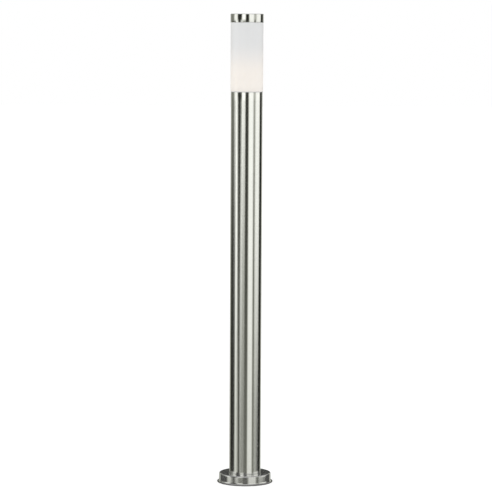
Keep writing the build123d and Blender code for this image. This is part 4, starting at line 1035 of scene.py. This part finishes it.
def carrier_moulding():
    """The black moulding in the post's top, with the inner thread and a ledge for the holder's bracket."""
    outer, ledge, low, _ = turned("head_carrier")
    pole_top = turned("pole")[3]
    root = CARRIER_RIDGE["root"]
    body = outer - CARRIER_BODY_STEP
    ledge_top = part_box("holder_bracket")[1].z - BRACKET_STRIP
    section = loop(
        (root, pole_top),
        (body, pole_top),
        (body, low, 0.6 * MM),
        (ledge, low, 0.5 * MM),
        (ledge, ledge_top, 0.5 * MM),
        (CARRIER_BORE, ledge_top, 0.8 * MM),
        (CARRIER_BORE, low + CARRIER_SHOULDER),
        (root, low + CARRIER_SHOULDER),
    )
    carrier = threaded("head_carrier_moulding", section, CARRIER_RIDGE)
    places = (-TAB_SCREW_X, TAB_SCREW_X)
    cut(carrier, *[hole_tool(x, 0.0, TAB_SCREW_HOLE, low - OVERCUT, ledge_top + OVERCUT) for x in places])
    show(carrier, "post", "head_carrier")


def carrier_trim():
    """The steel rim that the seal rests on."""
    outer, _, _, high = turned("head_carrier")
    pole_top = turned("pole")[3]
    inner = CARRIER_RIDGE["root"]
    section = loop((inner, pole_top), (outer, pole_top), (outer, high, 0.3 * MM), (inner, high, 0.3 * MM))
    show(lathe("head_carrier_trim", section), "post", "head_carrier", finish="satin_stainless")


def lamp_screw_cap():
    """The lamp's pressed cap, with its rolled thread."""
    _, foot, low, high = turned("lamp_cap")
    root = LAMP_RIDGE["root"]
    taper_top = low + LAMP_CAP_TAPER
    section = loop(
        (foot, low, 0.2 * MM),
        (root, taper_top, 0.4 * MM),
        (root, high, 0.2 * MM),
        (root - LAMP_CAP_SKIN, high, 0.2 * MM),
        (root - LAMP_CAP_SKIN, taper_top + LAMP_CAP_SKIN),
        (foot, low + LAMP_CAP_INNER_FOOT),
    )
    show(threaded("lamp_screw_cap", section, LAMP_RIDGE), "lamp", "lamp_cap")


def holder_shell():
    """The lampholder's threaded shell, and the tail that carries its current down to the terminal."""
    outer, _, low, high = turned("lampholder_shell")
    root = SHELL_RIDGE["root"]
    foot = high - SHELL_LENGTH
    section = loop(
        (outer, foot, 0.2 * MM),
        (outer, high, 0.3 * MM),
        (root, high, 0.3 * MM),
        (root, foot, 0.2 * MM),
    )
    show(threaded("holder_screw_shell", section, SHELL_RIDGE), "post", "lampholder_shell")
    near = (-TAIL_WIDTH / 2, root, low)
    far = (TAIL_WIDTH / 2, root + TAIL_THICKNESS, foot + TAIL_LAP)
    show(block("holder_shell_tail", near, far, 0.15 * MM), "post", "lampholder_shell")


# ---------------------------------------------------------------- plain turned pieces and CAD nodes

TURNED_PIECES = {  # each node's body, and the rounding of its corners in millimetres
    "lamp_tip": ("lamp", 0.1),
    "lamp_insulator": ("lamp", 0.3),
    "lamp_housing": ("lamp", 0.0),
    "lamp_globe": ("lamp", 0.0),
    "centre_contact": ("contact", 0.1),
    "cap_gasket": ("head", 0.2),
    "cap_stud": ("head", 0.15),
    "cap_washer": ("head", 0.15),
}


def plain_turned_pieces():
    """Rounder copies of the small turned CAD nodes."""
    for node, (body, rounding) in TURNED_PIECES.items():
        show(lathe(f"{node}_turned", section_of(node, rounding * MM), SMALL_ROUND), body, node)


def finish_cad_nodes():
    """Gives every CAD node that still shows the material of its slot."""
    for node, piece in frame["nodes"].items():
        if piece.hide_render:
            continue
        piece.data.materials.clear()
        piece.data.materials.append(MATERIALS[SLOT_OF[node]])
        smooth(piece.data)
        for polygon in piece.data.polygons:
            polygon.material_index = 0


pole_tube()
foot_gasket()
flange_casting()
flange_pillar()
entry_grommet()
cover_shell()
cover_grip_ring()
cap_shell()
opal_diffuser()
rim_seal()
head_collar_ring()
carrier_moulding()
carrier_trim()
lamp_screw_cap()
holder_shell()
plain_turned_pieces()
finish_cad_nodes()

# ---------------------------------------------------------------- studio

LIGHT_TONE = (1.01, 1.02, 0.96)
DARK_TONE = (1.05, 1.08, 0.88)
WALL = 0.02  # brightness of the dark wall behind the panels
SOFT_EDGE = math.radians(6)
# Rows of light panels, from the camera's level down to the floor. Each panel is a first and a last bearing in
# degrees, where 0 is towards the camera and 90 towards +X, and a brightness.
PANEL_ROWS = [
    [(-130, -100, 0.3), (-100, -70, 1.3), (-35, -10, 1.6), (15, 50, 1.3), (50, 70, 0.6), (70, 110, 1.3)],
    [(-85, -65, 1.4), (-45, -30, 1.2), (-30, -10, 0.3), (15, 50, 1.2), (65, 105, 1.2)],
    [(-85, -55, 0.6), (-45, 90, 0.2), (15, 50, 0.6)],
]
BACK_PANELS = [(-165, -140, 0.5), (145, 165, 0.7)]  # these light the back, and stand in every row
# Sines of elevation between which one part of the surroundings gives way to the next.
ROW_CHANGES = [(-0.03, -0.07), (-0.11, -0.155)]
FLOOR_SHADE = (-0.45, -0.25)
BELOW_FLOOR = (-0.80, -0.55)
OVER_PANELS = (0.35, 0.60)
CEILING = (0.72, 0.93)


def panel_row(g, bearing, panels):
    """The brightness and colour of one row: soft-edged panels on a dark wall."""
    light = WALL
    for first, last, brightness in panels:
        start, end = math.radians(first), math.radians(last)
        opening = g.ease(bearing, start - SOFT_EDGE, start + SOFT_EDGE, 0.0, brightness)
        closing = g.ease(bearing, end - SOFT_EDGE, end + SOFT_EDGE, 1.0, 0.0)
        light = g.plus(light, g.times(opening, closing))
    tone = g.mix(light, rgb(*DARK_TONE), rgb(*LIGHT_TONE))
    return g.mix(1.0, g.combine(light, light, light), tone, blend="MULTIPLY")


def surroundings(g):
    """What mirror reflections see: rows of panels, and soft light well above and below them."""
    x, y, z = g.parts(g.tree.nodes.new("ShaderNodeTexCoord").outputs["Generated"])
    bearing = g.math("ARCTAN2", x, g.times(y, -1.0))
    rows = [panel_row(g, bearing, panels + BACK_PANELS) for panels in PANEL_ROWS]
    seen = rows[0]
    for (above, below), row in zip(ROW_CHANGES, rows[1:]):
        seen = g.mix(g.ease(z, below, above), row, seen)
    swing = g.times(g.math("SINE", g.plus(g.times(bearing, 3.0), 0.9)), 0.26)
    soft = g.combine(*[g.plus(0.40, swing)] * 3)
    seen = g.mix(g.ease(z, *FLOOR_SHADE), grey(0.04), seen)
    seen = g.mix(g.ease(z, *BELOW_FLOOR), soft, seen)
    seen = g.mix(g.ease(z, *OVER_PANELS), seen, soft)
    return g.mix(g.ease(z, *CEILING), seen, grey(0.80))


def studio_world():
    """A white studio, which mirror reflections see as panels on a dark wall."""
    world = bpy.data.worlds.new("studio")
    world.use_nodes = True
    bpy.context.scene.world = world
    g = Graph(world.node_tree)
    paths = g.tree.nodes.new("ShaderNodeLightPath").outputs
    white = g.mix(paths["Is Camera Ray"], grey(1.06), grey(1.0))
    colour = g.mix(paths["Is Glossy Ray"], white, surroundings(g))
    background = g.add("ShaderNodeBackground", {"Color": colour, "Strength": 1.0})
    output = g.tree.nodes.new("ShaderNodeOutputWorld")
    g.tree.links.new(background, output.inputs["Surface"])


FLOOR_REACH = 30.0
FLOOR_DROP = 0.3 * MM
FLOOR_GLOW = 0.56


def floor_material():
    """Pale paint that glows a little, so that it stays near white, and is clear from below."""
    material = bpy.data.materials.new("pale_floor")
    material.use_nodes = True
    g = Graph(material.node_tree)
    tone = g.mix(g.noise(g.place().point, scale=3, detail=4), grey(0.955), grey(0.975))
    matt = g.add("ShaderNodeBsdfDiffuse", {"Color": g.mix(0.48, tone, grey(0.0)), "Roughness": 0.3})
    glow = g.add("ShaderNodeEmission", {"Color": grey(1.0), "Strength": FLOOR_GLOW})
    paint = g.add("ShaderNodeAddShader", {0: matt, 1: glow})
    clear = g.add("ShaderNodeBsdfTransparent")
    behind = g.tree.nodes.new("ShaderNodeNewGeometry").outputs["Backfacing"]
    output = g.tree.nodes.new("ShaderNodeOutputMaterial")
    g.tree.links.new(g.add("ShaderNodeMixShader", {0: behind, 1: paint, 2: clear}), output.inputs["Surface"])
    return material


def studio_floor():
    """A wide pale floor, seen only from above."""
    bm = bmesh.new()
    bmesh.ops.create_grid(bm, x_segments=8, y_segments=8, size=FLOOR_REACH)
    mesh = bpy.data.meshes.new("floor")
    bm.to_mesh(mesh)
    bm.free()
    mesh.materials.append(floor_material())
    floor = bpy.data.objects.new("floor", mesh)
    floor.location.z = -FLOOR_DROP
    floor.visible_glossy = False
    bpy.context.scene.collection.objects.link(floor)


def soft_light(name, location, target, size, power, colour):
    """A round soft light that faces its target and isn't seen in reflections."""
    data = bpy.data.lights.new(name, "AREA")
    data.shape = "DISK"
    data.size = size
    data.energy = power
    data.color = colour
    lamp = bpy.data.objects.new(name, data)
    lamp.location = location
    lamp.rotation_euler = (Vector(location) - Vector(target)).to_track_quat("Z", "Y").to_euler()
    lamp.visible_glossy = False
    bpy.context.scene.collection.objects.link(lamp)


studio_world()
studio_floor()
soft_light("key", (-3.3, -1.7, 3.0), target=(0, 0, 0.7), size=2.6, power=18, colour=(1.0, 0.99, 0.97))
soft_light("fill", (2.8, -1.8, 2.4), target=(0, 0, 0.6), size=2.4, power=8, colour=(0.97, 0.98, 1.0))
bpy.context.scene.view_settings.view_transform = "Standard"

# ---------------------------------------------------------------- camera

CAMERA_DISTANCE = 5.343
CAMERA_HEIGHT = 1.042
CAMERA_PITCH = math.radians(5.171)
CAMERA_ROLL = math.radians(0.289)
CAMERA_LENS = 167.45
SENSOR_WIDTH = 36.0


def photo_camera():
    """A long lens a little above the middle of the object, looking slightly down."""
    data = bpy.data.cameras.new("camera")
    data.sensor_width = SENSOR_WIDTH
    data.lens = CAMERA_LENS
    camera = bpy.data.objects.new("camera", data)
    camera.location = (0.0, -CAMERA_DISTANCE, CAMERA_HEIGHT)
    turn = Matrix.Rotation(math.pi / 2 - CAMERA_PITCH, 4, "X") @ Matrix.Rotation(CAMERA_ROLL, 4, "Z")
    camera.rotation_euler = turn.to_euler()
    bpy.context.scene.collection.objects.link(camera)
    bpy.context.scene.camera = camera


photo_camera()
